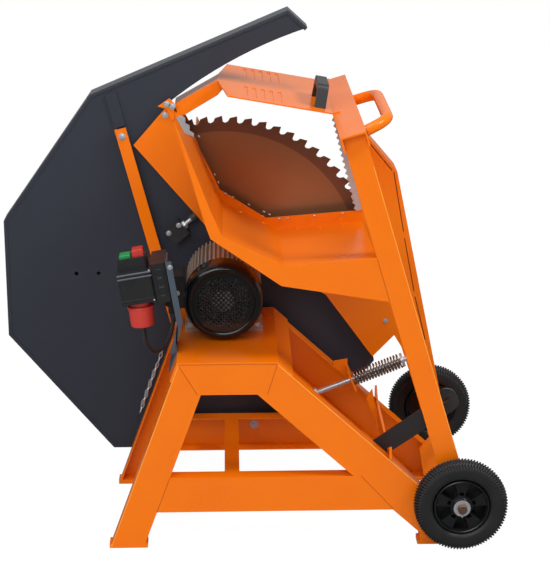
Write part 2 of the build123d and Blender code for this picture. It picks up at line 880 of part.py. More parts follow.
with BuildPart() as housing_rim:
    with BuildSketch(upright(housing_back_y - panel_thickness)):
        Polygon(*ribbon(housing_line, -panel_thickness), align=None)
    extrude(amount=housing_back_y - housing_front_y - 2 * panel_thickness)
finish(housing_rim, "housing_rim")

# Strut from the rear frame to the housing: an angle, with spacers behind it and behind the beams
strut_left = shifted(strut_bottom, strut_top, strut_width / 2)
strut_right = shifted(strut_bottom, strut_top, -strut_width / 2)
strut_inner = shifted(strut_bottom, strut_top, strut_width / 2 - strut_thickness)
strut_bolt = along(strut_top, strut_bottom, strut_bolt_inset)
spacer_heights = (lower_beam_z + lower_beam_height / 2, beam_top_z - channel_height / 2)
with BuildPart() as strut:
    with BuildSketch(upright(stand_back_y + strut_thickness)):
        Polygon(strut_left[0], strut_right[0], strut_right[1], strut_left[1], align=None)
    extrude(amount=strut_thickness)
    with BuildSketch(upright(housing_front_y - 2 * panel_thickness)):
        Polygon(strut_left[0], strut_inner[0], strut_inner[1], strut_left[1], align=None)
    extrude(amount=housing_front_y - 2 * panel_thickness - stand_back_y)
finish(strut, "strut")
spacer_spots = [(x, z) for x in spacer_places for z in spacer_heights]
with BuildPart() as housing_spacers:
    with BuildSketch(upright(housing_front_y)):
        with Locations(*spacer_spots):
            Circle(spacer_diameter / 2)
    extrude(amount=housing_front_y - stand_back_y)
    with BuildSketch(upright(housing_front_y)):
        with Locations(strut_bolt):
            Circle(strut_spacer / 2)
    extrude(amount=housing_front_y - stand_back_y - strut_thickness)
finish(housing_spacers, "housing_spacers")

# End stop on the housing: block, screw with lock nut, rubber buffer against the guard's edge
guard_edge = (guard_left[1], guard_left[2])
edge_length = hypot(guard_edge[1][0] - guard_edge[0][0], guard_edge[1][1] - guard_edge[0][1])
stop_rise = (guard_edge[1][0] - guard_edge[0][0]) / edge_length
stop_normal = ((guard_edge[0][1] - guard_edge[1][1]) / edge_length, stop_rise)
stop_seat = along(guard_edge[1], guard_edge[0], stop_from_corner)
stop_y = near_guard_y + guard_thickness / 2
block_reach = stop_reach + stop_block_size[0]


def stop_plane(distance):
    """Plane square to the stop screw, at a distance before the guard's edge."""
    start_x = blade_x + stop_seat[0] - stop_normal[0] * distance
    return Plane(
        origin=(start_x, stop_y, stop_seat[1] - stop_normal[1] * distance),
        x_dir=(0, 1, 0),
        z_dir=(stop_normal[0], 0, stop_normal[1]),
    )


with BuildPart() as stop_block:
    with BuildSketch(stop_plane(block_reach)):
        with Locations(((housing_front_y - stop_y - stop_block_size[2] / 2), 0)):
            Rectangle(stop_block_size[2], stop_block_size[1])
    extrude(amount=stop_block_size[0])
finish(stop_block, "stop_block")
with BuildPart() as stop_screw_part:
    with BuildSketch(stop_plane(stop_reach)):
        Circle(stop_screw / 2)
    extrude(amount=stop_reach - buffer_length - stop_gap)
    with BuildSketch(stop_plane(stop_reach)):
        RegularPolygon(stop_screw, 6)
    extrude(amount=stop_screw_head)
finish(stop_screw_part, "stop_screw")
with BuildPart() as stop_buffer:
    with BuildSketch(stop_plane(buffer_length + stop_gap)):
        Circle(buffer_diameter / 2)
    extrude(amount=buffer_length)
finish(stop_buffer, "stop_buffer")

# Cradle columns: leaning channels, cut square at the top, each with a hub that turns on the axle
column_run = (column_top_z - axle_z) / cos(radians(column_lean))
column_half = column_width / 2
axle_spot = (axle_x, axle_z)
hub_bore = axle_diameter / 2 + running_gap


def column_outline(low_run, high_run, half):
    """Four corners of a stretch of the leaning column, with a half width."""
    return [
        column_point(low_run, -half),
        column_point(low_run, half),
        column_point(high_run, half),
        column_point(high_run, -half),
    ]


for name, front_y in (("front_column", column_front_y), ("far_column", far_column_y)):
    with BuildPart() as column:
        with BuildSketch(upright(front_y + column_depth)):
            Polygon(*column_outline(0.0, column_run, column_half), align=None)
            with Locations(axle_spot):
                Circle(hub_radius)
        extrude(amount=column_depth)
        with BuildSketch(upright(front_y + column_depth)):
            Polygon(*column_outline(hub_radius, column_run, column_half - column_wall), align=None)
        extrude(amount=column_depth - column_wall, mode=Mode.SUBTRACT)
        with BuildSketch(upright(front_y + column_depth)):
            with Locations(axle_spot):
                Circle(hub_bore)
        extrude(amount=column_depth, mode=Mode.SUBTRACT)
    finish(column, name)

# Guard plates on both sides of the blade, with the log mouth, and the wall along their operator's edge
guard_top = [
    (column_x(guard_shoulder_z, 1), guard_shoulder_z),
    column_point(column_run, column_half),
    column_point(column_run, -column_half),
    (column_x(guard_shoulder_z, -1), guard_shoulder_z),
]
guard_outline = guard_left + guard_leg_left + guard_right + guard_top + mouth_right[::-1] + mouth_left
for name, back_y, boss_y in (
    ("near_guard_plate", near_guard_back, near_guard_back + boss_length),
    ("far_guard_plate", far_guard_back, far_guard_y),
):
    with BuildPart() as guard_plate:
        with BuildSketch(upright(back_y)):
            Polygon(*guard_outline, align=None)
        extrude(amount=guard_thickness)
        with BuildSketch(upright(boss_y)):
            with Locations(axle_spot):
                Circle(hub_radius)
        extrude(amount=boss_length)
        with BuildSketch(upright(back_y)):
            with Locations(axle_spot):
                Circle(hub_radius)
        extrude(amount=guard_thickness)
        with BuildSketch(upright(far_guard_back)):
            with Locations(axle_spot):
                Circle(hub_bore)
        extrude(amount=far_guard_back - near_guard_y, mode=Mode.SUBTRACT)
    finish(guard_plate, name)
wall_foot = along(guard_right[0], guard_right[1], edge_wall_start)
wall_line = [wall_foot, guard_right[1], guard_right[2], guard_top[0]]
with BuildPart() as edge_wall:
    with BuildSketch(upright(far_guard_y)):
        Polygon(*ribbon(wall_line, edge_wall_thickness), align=None)
    extrude(amount=far_guard_y - near_guard_back)
finish(edge_wall, "edge_wall")

# Log troughs: folded sheets that fall towards the blade, with aprons at both ends
trough_line = trough_profile + [(column_x(trough_right_z, -1), trough_right_z)]
near_trough_front = column_front_y + apron_thickness
near_trough_run = near_guard_y - near_trough_front
wall_slope = atan2(trough_line[0][1] - trough_line[1][1], trough_line[0][0] - trough_line[1][0])
edge_run = Vector(trough_cut_shift, near_trough_run, -trough_cut_drop)
wall_normal = Vector(sin(wall_slope), 0, -cos(wall_slope))
with BuildPart() as near_trough:
    with BuildSketch(upright(near_trough_front)):
        Polygon(*ribbon(trough_line, -trough_thickness), align=None)
    extrude(amount=hypot(near_trough_run, trough_drop), dir=(0, near_trough_run, -trough_drop))
    split(
        bisect_by=Plane(
            origin=(blade_x + trough_line[0][0], near_trough_front, trough_line[0][1]),
            x_dir=wall_normal,
            z_dir=edge_run.cross(wall_normal),
        ),
        keep=Keep.TOP,
    )
finish(near_trough, "near_trough")
far_trough_back = far_guard_back + far_trough_run
far_trough_line = [along(trough_line[0], trough_line[1], far_trough_cut)] + trough_line[1:]
far_trough_line = [(x, z - trough_drop) for x, z in far_trough_line]
with BuildPart() as far_trough:
    with BuildSketch(upright(far_trough_back)):
        Polygon(*ribbon(far_trough_line, -trough_thickness), align=None)
    extrude(amount=far_trough_run)
finish(far_trough, "far_trough")
apron_outline = trough_line + [(column_x(apron_right_z, -1), apron_right_z)] + apron_lower
far_apron_outline = far_trough_line + [(column_x(apron_right_z, -1), apron_right_z - trough_drop)]
far_apron_outline = far_apron_outline + [(x, z - trough_drop) for x, z in apron_lower[:-1]]
with BuildPart() as aprons:
    with BuildSketch(upright(near_trough_front)):
        Polygon(*apron_outline, align=None)
    extrude(amount=apron_thickness)
    with BuildSketch(upright(far_trough_back + apron_thickness)):
        Polygon(*far_apron_outline, align=None)
    extrude(amount=apron_thickness)
finish(aprons, "aprons")

# Cradle beam over the columns and guard plates, square to the columns
beam_half = column_half + beam_gap
beam_line = [
    column_point(column_run - beam_flange, -beam_half),
    column_point(column_run, -beam_half),
    column_point(column_run, beam_half),
    column_point(column_run - beam_flange, beam_half),
]
with BuildPart() as cradle_beam:
    with BuildSketch(upright(beam_far_y)):
        Polygon(*ribbon(beam_line, beam_thickness), align=None)
    extrude(amount=beam_far_y - beam_near_y)
finish(cradle_beam, "cradle_beam")

# Hood over the blade: a sloping lid between the guard plates and a slotted flat that rests on the beam
beam_corner = column_point(column_run + beam_thickness, -beam_half - beam_thickness)
beam_far_corner = column_point(column_run + beam_thickness, beam_half + beam_thickness)
hood_profile = [hood_left, hood_kink, beam_corner, along(beam_corner, beam_far_corner, hood_tongue)]
hood_flange_outline = [
    hood_left,
    (hood_left[0] + hood_flange_taper, hood_left[1] - hood_flange),
    (hood_kink[0], hood_kink[1] - hood_flange),
    along(hood_kink, beam_corner, hood_flange_end),
    hood_kink,
]
hood_fall = atan2(hood_kink[1] - beam_corner[1], beam_corner[0] - hood_kink[0])
hood_top = Plane(
    origin=(blade_x + hood_kink[0], (hood_near_y + hood_far_y) / 2, hood_kink[1]),
    x_dir=(cos(hood_fall), 0, -sin(hood_fall)),
    z_dir=(sin(hood_fall), 0, cos(hood_fall)),
)
slot_spots = [
    (slot_first_x - hood_kink[0] + slot_pitch * slot, side * slot_row)
    for slot in range(slot_count)
    for side in (-1, 1)
]
hood_corners = [(near_guard_back, hood_near_y - hood_thickness), (far_guard_y, hood_far_y + hood_thickness)]
with BuildPart() as hood:
    with BuildSketch(upright(far_guard_y)):
        Polygon(*ribbon(hood_profile[:3], hood_thickness), align=None)
    extrude(amount=far_guard_y - near_guard_back)
    with BuildSketch(upright(hood_far_y)):
        Polygon(*ribbon(hood_profile[1:], hood_thickness), align=None)
    extrude(amount=hood_far_y - hood_near_y)
    with BuildSketch(upright(near_guard_back + hood_thickness)):
        Polygon(*hood_flange_outline, align=None)
    extrude(amount=hood_thickness)
    with BuildSketch(upright(far_guard_y)):
        Polygon(*hood_flange_outline, align=None)
    extrude(amount=hood_thickness)
    with BuildSketch(level(column_top_z)):
        for inner_y, outer_y in hood_corners:
            Polygon(
                (hood_kink[0] - hood_corner, inner_y),
                (hood_kink[0], inner_y),
                (hood_kink[0] + hood_corner, outer_y),
                (hood_kink[0] - hood_corner, outer_y),
                align=None,
            )
    extrude(amount=2 * hood_flange, mode=Mode.SUBTRACT)
    with BuildSketch(hood_top.offset(hood_thickness - slot_depth)):
        with Locations(*slot_spots):
            SlotOverall(slot_length, slot_width, rotation=90)
    extrude(amount=2 * slot_depth, mode=Mode.SUBTRACT)
finish(hood, "hood")


def toothed(low, high, count, depth, width):
    """Outline of a strip from low to high with teeth on its left and a straight back on its right."""
    length = hypot(high[0] - low[0], high[1] - low[1])
    pitch = length / count
    outline = []
    for tooth in range(count):
        start = along(low, high, tooth * pitch)
        middle = along(low, high, (tooth + 0.5) * pitch)
        outline += [start, shifted(start, middle, depth)[1]]
    back = shifted(low, high, -width)
    return outline + [high, back[1], back[0]]


# Gripping strips with teeth along both sides of the mouth
strip_runs = [(*mouth_right, strip_teeth), (mouth_left[4], mouth_left[3], left_strip_teeth)]
with BuildPart() as gripping_strips:
    with BuildSketch(upright(near_guard_y)):
        for low, high, count in strip_runs:
            Polygon(*toothed(low, high, count, strip_depth, strip_width), align=None)
    extrude(amount=strip_thickness)
finish(gripping_strips, "gripping_strips")

# Bow handle on the hood
bow_near_y = hood_near_y + bow_start
hood_top_z = hood_kink[1] + hood_thickness / cos(hood_fall)
bow_seat_z = hood_top_z - (bow_x - hood_kink[0]) * tan(hood_fall)
bow_plane = Plane(
    origin=(blade_x + bow_x, bow_near_y, bow_seat_z),
    x_dir=(0, 1, 0),
    z_dir=(cos(hood_fall), 0, -sin(hood_fall)),
)
bow_slant = bow_band * bow_slant_share
with BuildPart() as bow_handle:
    with BuildSketch(bow_plane):
        with BuildLine():
            FilletPolyline(
                (0, 0),
                (bow_slant, bow_height),
                (bow_length - bow_slant, bow_height),
                (bow_length, 0),
                radius=bow_band,
            )
            Polyline((bow_length, 0), (bow_length - bow_band, 0))
            FilletPolyline(
                (bow_length - bow_band, 0),
                (bow_length - bow_slant - bow_band, bow_height - bow_band),
                (bow_slant + bow_band, bow_height - bow_band),
                (bow_band, 0),
                radius=bow_band / 2,
            )
            Polyline((bow_band, 0), (0, 0))
        make_face()
    extrude(amount=bow_width)
finish(bow_handle, "bow_handle")

# Push bar: a bent rod that leaves the beam's operator's side squarely
bar_run = column_run - push_bar_drop
bar_root = column_point(bar_run, beam_half + beam_thickness)
bar_buried = column_point(bar_run, column_half - push_bar_diameter)
bar_out = column_point(bar_run + push_bar_lift, beam_half + beam_thickness + push_bar_reach)
bar_near_y = column_front_y + push_bar_start
bar_far_y = bar_near_y + push_bar_length
beam_way = (cos(radians(column_lean)), 0, sin(radians(column_lean)))
beam_side = Plane(origin=(blade_x + bar_root[0], 0, bar_root[1]), x_dir=(0, 1, 0), z_dir=beam_way)
with BuildPart() as push_bar:
    with BuildLine():
        FilletPolyline(
            (blade_x + bar_buried[0], bar_near_y, bar_buried[1]),
            (blade_x + bar_root[0], bar_near_y, bar_root[1]),
            (blade_x + bar_out[0], bar_near_y + push_bar_splay, bar_out[1]),
            (blade_x + bar_out[0], bar_far_y - push_bar_splay, bar_out[1]),
            (blade_x + bar_root[0], bar_far_y, bar_root[1]),
            (blade_x + bar_buried[0], bar_far_y, bar_buried[1]),
            radius=push_bar_bend,
        )
    with BuildSketch(Plane(origin=(blade_x + bar_buried[0], bar_near_y, bar_buried[1]), z_dir=beam_way)):
        Circle(push_bar_diameter / 2)
    sweep()
    split(bisect_by=beam_side, keep=Keep.TOP)
finish(push_bar, "push_bar")

# Pins on the cradle: one carries the spring rod's eye, the other the latch lever
rod_pin_front = rod_y - rod_eye / 2 - pin_play
latch_spot = (column_x(latch_pivot_z), latch_pivot_z)
latch_back = latch_y + latch_thickness
with BuildPart() as cradle_pins:
    with BuildSketch(upright(near_guard_y)):
        with Locations(rod_lug):
            Circle(lug_pin / 2)
    extrude(amount=near_guard_y - rod_pin_front)
    with BuildSketch(upright(rod_pin_front)):
        with Locations(rod_lug):
            Circle(pin_head / 2)
    extrude(amount=pin_head_height)
    with BuildSketch(upright(latch_back + pin_play)):
        with Locations(latch_spot):
            Circle(latch_pin / 2)
    extrude(amount=latch_back + pin_play - near_trough_front)
    with BuildSketch(upright(latch_back + pin_play + pin_head_height)):
        with Locations(latch_spot):
            Circle(pin_head / 2)
    extrude(amount=pin_head_height)
    with BuildSketch(upright(latch_y - pin_play)):
        with Locations(latch_spot):
            Circle(pin_head / 2)
    extrude(amount=pin_head_height)
finish(cradle_pins, "cradle_pins")

# Spring rod: an eye on the cradle's pin, a collar for the spring and a nut at the free end
rod_way = Vector(-cos(radians(rod_angle)), 0, -sin(radians(rod_angle)))
rod_start = Vector(blade_x + rod_lug[0], rod_y, rod_lug[1])
rod_across = Vector(0, 1, 0)
rod_down = rod_way.cross(rod_across)
rod_root = lug_pin * rod_root_share


def rod_plane(distance):
    """Plane square to the spring rod, at a distance from its eye."""
    return Plane(origin=rod_start + rod_way * distance, x_dir=rod_across, z_dir=rod_way)


with BuildPart() as spring_rod:
    with BuildSketch(rod_plane(rod_root)):
        Circle(rod_diameter / 2)
    extrude(amount=rod_length - rod_root)
    with BuildSketch(rod_plane(spring_start - collar_height)):
        Circle(spring_diameter / 2)
    extrude(amount=collar_height)
    with BuildSketch(rod_plane(rod_length - rod_nut)):
        RegularPolygon(rod_diameter, 6)
    extrude(amount=rod_nut)
    with BuildSketch(upright(rod_y + rod_eye / 2)):
        with Locations(rod_lug):
            Circle(rod_eye_radius)
    extrude(amount=rod_eye)
    with BuildSketch(upright(rod_y + rod_eye / 2)):
        with Locations(rod_lug):
            Circle(lug_pin / 2 + running_gap)
    extrude(amount=rod_eye, mode=Mode.SUBTRACT)
finish(spring_rod, "spring_rod")

# Spring bracket on the rear right leg, with a cheek and a slot in which the rod slides and swings
bracket_start = spring_start + spring_length + spring_play
leg_normal = Vector(right_leg_slope, 0, 1).normalized()
leg_face = Plane(
    origin=(blade_x + right_outer[0][0], 0, right_outer[0][1]),
    x_dir=(0, 1, 0),
    z_dir=leg_normal,
)
bracket_low = along(rod_lug, (rod_lug[0] + rod_way.X, rod_lug[1] + rod_way.Z), bracket_start)
bracket_foot = meet(bracket_low, (bracket_low[0] + rod_down.X, bracket_low[1] + rod_down.Z), *right_outer)
bracket_line = [along(bracket_foot, right_outer[0], bracket_foot_length), bracket_foot]
bracket_top = (bracket_low[0] - rod_down.X * bracket_rise, bracket_low[1] - rod_down.Z * bracket_rise)
cheek_x = bracket_foot[0] - bracket_cheek
cheek_seat = meet(*right_outer, (cheek_x, 0.0), (cheek_x, 1.0))
cheek_outline = [
    bracket_foot,
    bracket_top,
    (bracket_top[0], bracket_top[1] + cheek_rise),
    (cheek_x, cheek_seat[1] + cheek_height),
    cheek_seat,
]
rod_slot_length = rod_diameter + rod_slot_extra
bracket_near = bracket_front_y - rod_y
bracket_far = bracket_back_y - rod_y
with BuildPart() as spring_bracket:
    with BuildSketch(rod_plane(bracket_start)):
        Polygon(
            (bracket_near, -bracket_rise),
            (bracket_far - bracket_rise, -bracket_rise),
            (bracket_far, 0),
            (bracket_far, bracket_drop),
            (bracket_near, bracket_drop),
            align=None,
        )
        SlotOverall(rod_slot_length, rod_diameter + rod_slot_play, rotation=90, mode=Mode.SUBTRACT)
    extrude(amount=bracket_thickness)
    split(bisect_by=leg_face, keep=Keep.TOP)
    with BuildSketch(upright(bracket_back_y)):
        Polygon(*ribbon(bracket_line, bracket_thickness), align=None)
    extrude(amount=bracket_back_y - flange_back_y)
    with BuildSketch(upright(flange_back_y + bracket_thickness)):
        Polygon(*cheek_outline, align=None)
    extrude(amount=bracket_thickness)
finish(spring_bracket, "spring_bracket")

# Return spring: one unbroken wire wound round the rod, two arcs to each quarter turn
coil_radius = (spring_diameter - spring_wire) / 2
coil_rise = (spring_length - spring_wire) / spring_turns


def coil(turn):
    """Place on the spring's middle line and direction of the wire after a number of turns."""
    angle = radians(360 * turn)
    out = rod_across * cos(angle) + rod_down * sin(angle)
    round_way = rod_down * cos(angle) - rod_across * sin(angle)
    place = rod_start + rod_way * (spring_start + spring_wire / 2 + coil_rise * turn) + out * coil_radius
    return place, (round_way * radians(360) * coil_radius + rod_way * coil_rise).normalized()


coil_ends = [coil(quarter / 4) for quarter in range(4 * spring_turns + 1)]
with BuildPart() as return_spring:
    with BuildLine():
        for (start, start_way), (end, end_way) in zip(coil_ends, coil_ends[1:]):
            span = end - start
            both = start_way + end_way
            spread = 2 * (1 - start_way.dot(end_way))
            reach = (sqrt(span.dot(both) ** 2 + spread * span.dot(span)) - span.dot(both)) / spread
            joint = (start + start_way * reach + end - end_way * reach) * 0.5
            TangentArc(start, joint, tangent=start_way)
            TangentArc(joint, end, tangent=-end_way, tangent_from_first=False)
    with BuildSketch(Plane(origin=coil_ends[0][0], z_dir=coil_ends[0][1])):
        Circle(spring_wire / 2)
    sweep()
finish(return_spring, "return_spring")
turn_places = [coil(turn)[0] for turn in range(spring_turns + 1)]
coil_gap = min((a - b).length for a, b in zip(turn_places, turn_places[1:])) - spring_wire
print(f"least gap between the spring's turns {coil_gap:.2f} mm")

# Latch lever: a notched plate that hooks over the rail and is lifted by its tab
latch_way = (cos(radians(latch_angle)), 0, sin(radians(latch_angle)))
latch_pivot = (blade_x + latch_spot[0], latch_back, latch_spot[1])
latch_plane = Plane(origin=latch_pivot, x_dir=latch_way, z_dir=(0, -1, 0))
notch_top = rail_top_z + latch_gap
rail_right = rail_x + rail_thickness
with BuildPart() as latch_lever:
    with BuildSketch(latch_plane):
        Polygon(*latch_outline, align=None)
        Circle(latch_pin / 2 + running_gap, mode=Mode.SUBTRACT)
        with Locations(latch_slot_at):
            SlotOverall(latch_slot[0], latch_slot[1], mode=Mode.SUBTRACT)
    extrude(amount=latch_thickness)
    with BuildSketch(upright(latch_back)):
        Polygon(
            (rail_x - notch_left, notch_top),
            (rail_right + notch_right, notch_top),
            (rail_right + notch_right + latch_width, notch_top - latch_width / 2),
            (rail_x - notch_left - notch_slant, notch_top - latch_width),
            align=None,
        )
    extrude(amount=latch_thickness, mode=Mode.SUBTRACT)
finish(latch_lever, "latch_lever")

# Switch: a bracket on the platform's left flange, back box, body, button head and power inlet
flange_line = shifted(left_outer[0], left_outer[1], platform_thickness)
switch_bracket_line = [
    along(flange_line[1], flange_line[0], platform_flange),
    flange_line[1],
    (switch_bracket_x, switch_bracket_bend_z),
    leaned(switch_bracket_x, switch_bracket_top_z),
]
bracket_edge_y = switch_y - switch_bracket_width / 2 + switch_bracket_thickness
with BuildPart() as switch_bracket:
    with BuildSketch(upright(switch_y + switch_bracket_width / 2)):
        Polygon(*ribbon(switch_bracket_line, switch_bracket_thickness), align=None)
    extrude(amount=switch_bracket_width)
    with BuildSketch(upright(bracket_edge_y)):
        Polygon(
            leaned(switch_bracket_x, switch_bracket_bend_z),
            leaned(switch_bracket_x + switch_bracket_flange, switch_bracket_bend_z),
            leaned(switch_bracket_x + switch_bracket_flange, switch_bracket_top_z),
            leaned(switch_bracket_x, switch_bracket_top_z),
            align=None,
        )
    extrude(amount=switch_bracket_thickness)
finish(switch_bracket, "switch_bracket")
box_right = switch_bracket_x - switch_bracket_thickness
box_y = switch_y + (back_box_depth - switch_bracket_width) / 2
box_bottom_z = switch_bracket_top_z - back_box_height
body_x = box_right - back_box_width - switch_body[0] / 2
body_y = switch_y - switch_front + switch_body[1] / 2
body_top_z = switch_bottom_z + switch_body[2]
with BuildPart() as switch_box:
    with BuildSketch(level(box_bottom_z)):
        with Locations((box_right - back_box_width / 2, box_y)):
            RectangleRounded(back_box_width, back_box_depth, switch_round)
    extrude(amount=back_box_height)
finish(switch_box, "switch_box", switch_lean)
with BuildPart() as switch_body_part:
    with BuildSketch(level(switch_bottom_z)):
        with Locations((body_x, body_y)):
            RectangleRounded(switch_body[0], switch_body[1], switch_round)
    extrude(amount=switch_body[2])
finish(switch_body_part, "switch_body", switch_lean)
button_spots = [(body_x - button_spacing / 2, switch_y), (body_x + button_spacing / 2, switch_y)]
well_floor_z = body_top_z + head_size[2] - button_well
with BuildPart() as button_head:
    with BuildSketch(level(body_top_z)):
        with Locations((body_x, switch_y)):
            RectangleRounded(head_size[0], head_size[1], switch_round)
    extrude(amount=head_size[2])
    with BuildSketch(level(well_floor_z)):
        with Locations(*button_spots):
            Rectangle(button_size[0] + 2 * button_gap, button_size[1] + 2 * button_gap)
    extrude(amount=button_well, mode=Mode.SUBTRACT)
finish(button_head, "button_head", switch_lean)
button_foot_z = well_floor_z + button_travel + button_gap
button_heights = (button_size[2], button_size[2] + stop_button_rise)
for name, spot, height in zip(("start_button", "stop_button"), button_spots, button_heights):
    with BuildPart() as button:
        with BuildSketch(level(button_foot_z)):
            with Locations(spot):
                Rectangle(button_size[0], button_size[1])
        extrude(amount=height)
        chamfer(button.faces().sort_by(Axis.Z)[-1].edges(), button_bevel)
    finish(button, name, switch_lean)
inlet_top_z = switch_bottom_z - inlet_collar_height
inlet_floor_z = inlet_top_z - inlet_wall
inlet_mouth_z = inlet_top_z - inlet_length
with BuildPart() as power_inlet:
    with BuildSketch(level(inlet_top_z)):
        with Locations((body_x, switch_y)):
            Circle(inlet_collar / 2)
    extrude(amount=inlet_collar_height)
    with BuildSketch(level(inlet_mouth_z)):
        with Locations((body_x, switch_y)):
            Circle(inlet_diameter / 2)
    extrude(amount=inlet_length)
    with BuildSketch(level(inlet_mouth_z)):
        with Locations((body_x, switch_y)):
            Circle(inlet_diameter / 2 - inlet_wall)
    extrude(amount=inlet_length - inlet_wall, mode=Mode.SUBTRACT)
finish(power_inlet, "power_inlet", switch_lean)
with BuildPart() as inlet_pins:
    with BuildSketch(level(inlet_mouth_z + inlet_pin)):
        with Locations((body_x, switch_y)):
            with PolarLocations(pin_circle / 2, inlet_pin_count):
                Circle(inlet_pin / 2)
    extrude(amount=inlet_floor_z - inlet_mouth_z - inlet_pin)
finish(inlet_pins, "inlet_pins", switch_lean)

# Motor cable: it hangs in a loop from the switch's gland to the terminal box's gland
terminal_bottom_z = blade_z - terminal_box[2] / 2
gland_y = switch_y + inlet_collar / 2 + gland_diameter / 2 + gland_margin
gland_top = leaned(body_x, switch_bottom_z)
gland_foot = leaned(body_x, switch_bottom_z - gland_length)
gland_down = Vector(sin(radians(switch_lean)), 0, -cos(radians(switch_lean)))
motor_gland = (-fin_radius - terminal_box[0] / 2 - motor_gland_shift, terminal_box_y)
with BuildPart() as cable_glands:
    with BuildSketch(Plane(origin=(blade_x + gland_top[0], gland_y, gland_top[1]), z_dir=gland_down)):
        Circle(gland_diameter / 2)
    extrude(amount=gland_length)
    with BuildSketch(level(terminal_bottom_z - gland_length)):
        with Locations(motor_gland):
            Circle(gland_diameter / 2)
    extrude(amount=gland_length)
finish(cable_glands, "cable_glands")
cable_start = Vector(blade_x + gland_foot[0], gland_y, gland_foot[1])
cable_turn = cable_start + gland_down * ((cable_start.Z - cable_low_z) / cos(radians(switch_lean)))
cable_end = Vector(blade_x + motor_gland[0], motor_gland[1], terminal_bottom_z - gland_length)
with BuildPart() as motor_cable:
    with BuildLine():
        FilletPolyline(
            cable_start,
            cable_turn,
            (cable_end.X, cable_end.Y, cable_low_z),
            cable_end,
            radius=cable_bend,
        )
    with BuildSketch(Plane(origin=cable_start, z_dir=gland_down)):
        Circle(cable_diameter / 2)
    sweep()
finish(motor_cable, "motor_cable")
print(f"cable bend radius {cable_bend:.1f} mm, {cable_bend / cable_diameter:.1f} diameters")
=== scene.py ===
# %% [markdown]
# # A tilting firewood saw
# The saw stands on a channel-steel stand. A motor drives a large blade inside a tall
# dark housing, and an orange log cradle on two wheels tilts past the blade.
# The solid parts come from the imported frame. This lesson adds the finishes, the soft
# and wound pieces, and the small fittings that a maker would add at the bench.

import bmesh
import bpy
import numpy as np
from mathutils.geometry import delaunay_2d_cdt
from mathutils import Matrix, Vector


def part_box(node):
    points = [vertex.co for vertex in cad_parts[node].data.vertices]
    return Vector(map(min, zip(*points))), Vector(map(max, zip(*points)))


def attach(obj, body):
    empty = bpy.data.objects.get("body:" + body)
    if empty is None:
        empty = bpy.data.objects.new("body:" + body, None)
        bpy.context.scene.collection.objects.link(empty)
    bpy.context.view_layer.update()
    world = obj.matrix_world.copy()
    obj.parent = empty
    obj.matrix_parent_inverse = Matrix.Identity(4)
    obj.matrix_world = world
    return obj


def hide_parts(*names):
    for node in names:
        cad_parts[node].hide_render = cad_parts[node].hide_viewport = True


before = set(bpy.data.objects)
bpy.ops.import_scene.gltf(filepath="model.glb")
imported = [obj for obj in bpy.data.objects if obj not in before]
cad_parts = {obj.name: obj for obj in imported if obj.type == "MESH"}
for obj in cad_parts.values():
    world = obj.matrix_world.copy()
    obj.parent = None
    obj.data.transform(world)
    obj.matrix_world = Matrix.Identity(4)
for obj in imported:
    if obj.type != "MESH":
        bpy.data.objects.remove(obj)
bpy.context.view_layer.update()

# %% [markdown]
# ## Camera
# The photograph was taken from a little above and almost straight at the loading side.
# A long lens far away keeps the upright edges nearly parallel, so the lens and the place
# were worked out together from the blade, the wheels and the feet.

# %% Camera at the photograph's angle
IMAGE_HEIGHT = 575
SENSOR_MM = 36.0
FOCAL_PIXELS = 1800.0
CAMERA_PLACE = (-0.1283, -3.7851, 1.6398)
LOOK_DOWN = 0.286
LOOK_RIGHT = 0.027
CAMERA_ROLL = 0.002


def put_in_scene(name, data):
    """A new object with its data, linked into the scene and left at the origin."""
    thing = bpy.data.objects.new(name, data)
    bpy.context.scene.collection.objects.link(thing)
    return thing


camera_data = bpy.data.cameras.new("photo_camera")
camera_data.sensor_fit = "VERTICAL"
camera_data.sensor_height = SENSOR_MM
camera_data.lens = FOCAL_PIXELS * SENSOR_MM / IMAGE_HEIGHT
camera = put_in_scene("photo_camera", camera_data)
camera.location = CAMERA_PLACE
camera.rotation_euler = (np.pi / 2 - LOOK_DOWN, CAMERA_ROLL, -LOOK_RIGHT)
bpy.context.scene.camera = camera
print("lens", round(camera_data.lens, 1), "mm")

# %% [markdown]
# ## Measuring from the blade
# The drawings of this saw measure from the blade's axis, in millimetres. One small
# function turns such a place into the frame's metres, so the numbers below stay readable.

# %% Places measured from the blade axis
MM = 0.001
BLADE_X, BLADE_Y, BLADE_Z = -141.25, 248.0, 511.0


def place(x, y, z):
    """Metres in the frame, from millimetres with x counted from the blade axis; arrays give arrays."""
    x, y, z = np.broadcast_arrays(x, y, z)
    return MM * np.stack([x + BLADE_X, y, z], axis=-1)


blade_axis = place(0, BLADE_Y, BLADE_Z)
print("blade axis at", blade_axis)

# %% [markdown]
# ## Colours and nodes
# Colours are picked as the hex values that a paint chart shows. A renderer adds light in
# linear numbers, so one function undoes the screen's curve. A second small function adds
# a shader node with its settings and links, and every finish is built with it.

# %% Colour and node helpers


def linear(hex_colour):
    """Linear red, green, blue and alpha of an sRGB hex colour."""
    srgb = np.array([int(hex_colour[i:i + 2], 16) for i in (0, 2, 4)]) / 255
    bent = np.where(srgb <= 0.04045, srgb / 12.92, ((srgb + 0.055) / 1.055) ** 2.4)
    return (*bent.tolist(), 1.0)


def add_node(tree, kind, settings=None, links=None):
    """Add one node; settings fill its sockets or properties, links join its inputs."""
    node = tree.nodes.new(kind)
    for key, value in (settings or {}).items():
        if isinstance(key, int) or key in node.inputs:
            node.inputs[key].default_value = value
        else:
            setattr(node, key, value)
    for key, source in (links or {}).items():
        tree.links.new(source, node.inputs[key])
    return node


def empty_tree(owner):
    """The node tree of a material or world, with nothing in it."""
    owner.use_nodes = True
    owner.node_tree.nodes.clear()
    return owner.node_tree


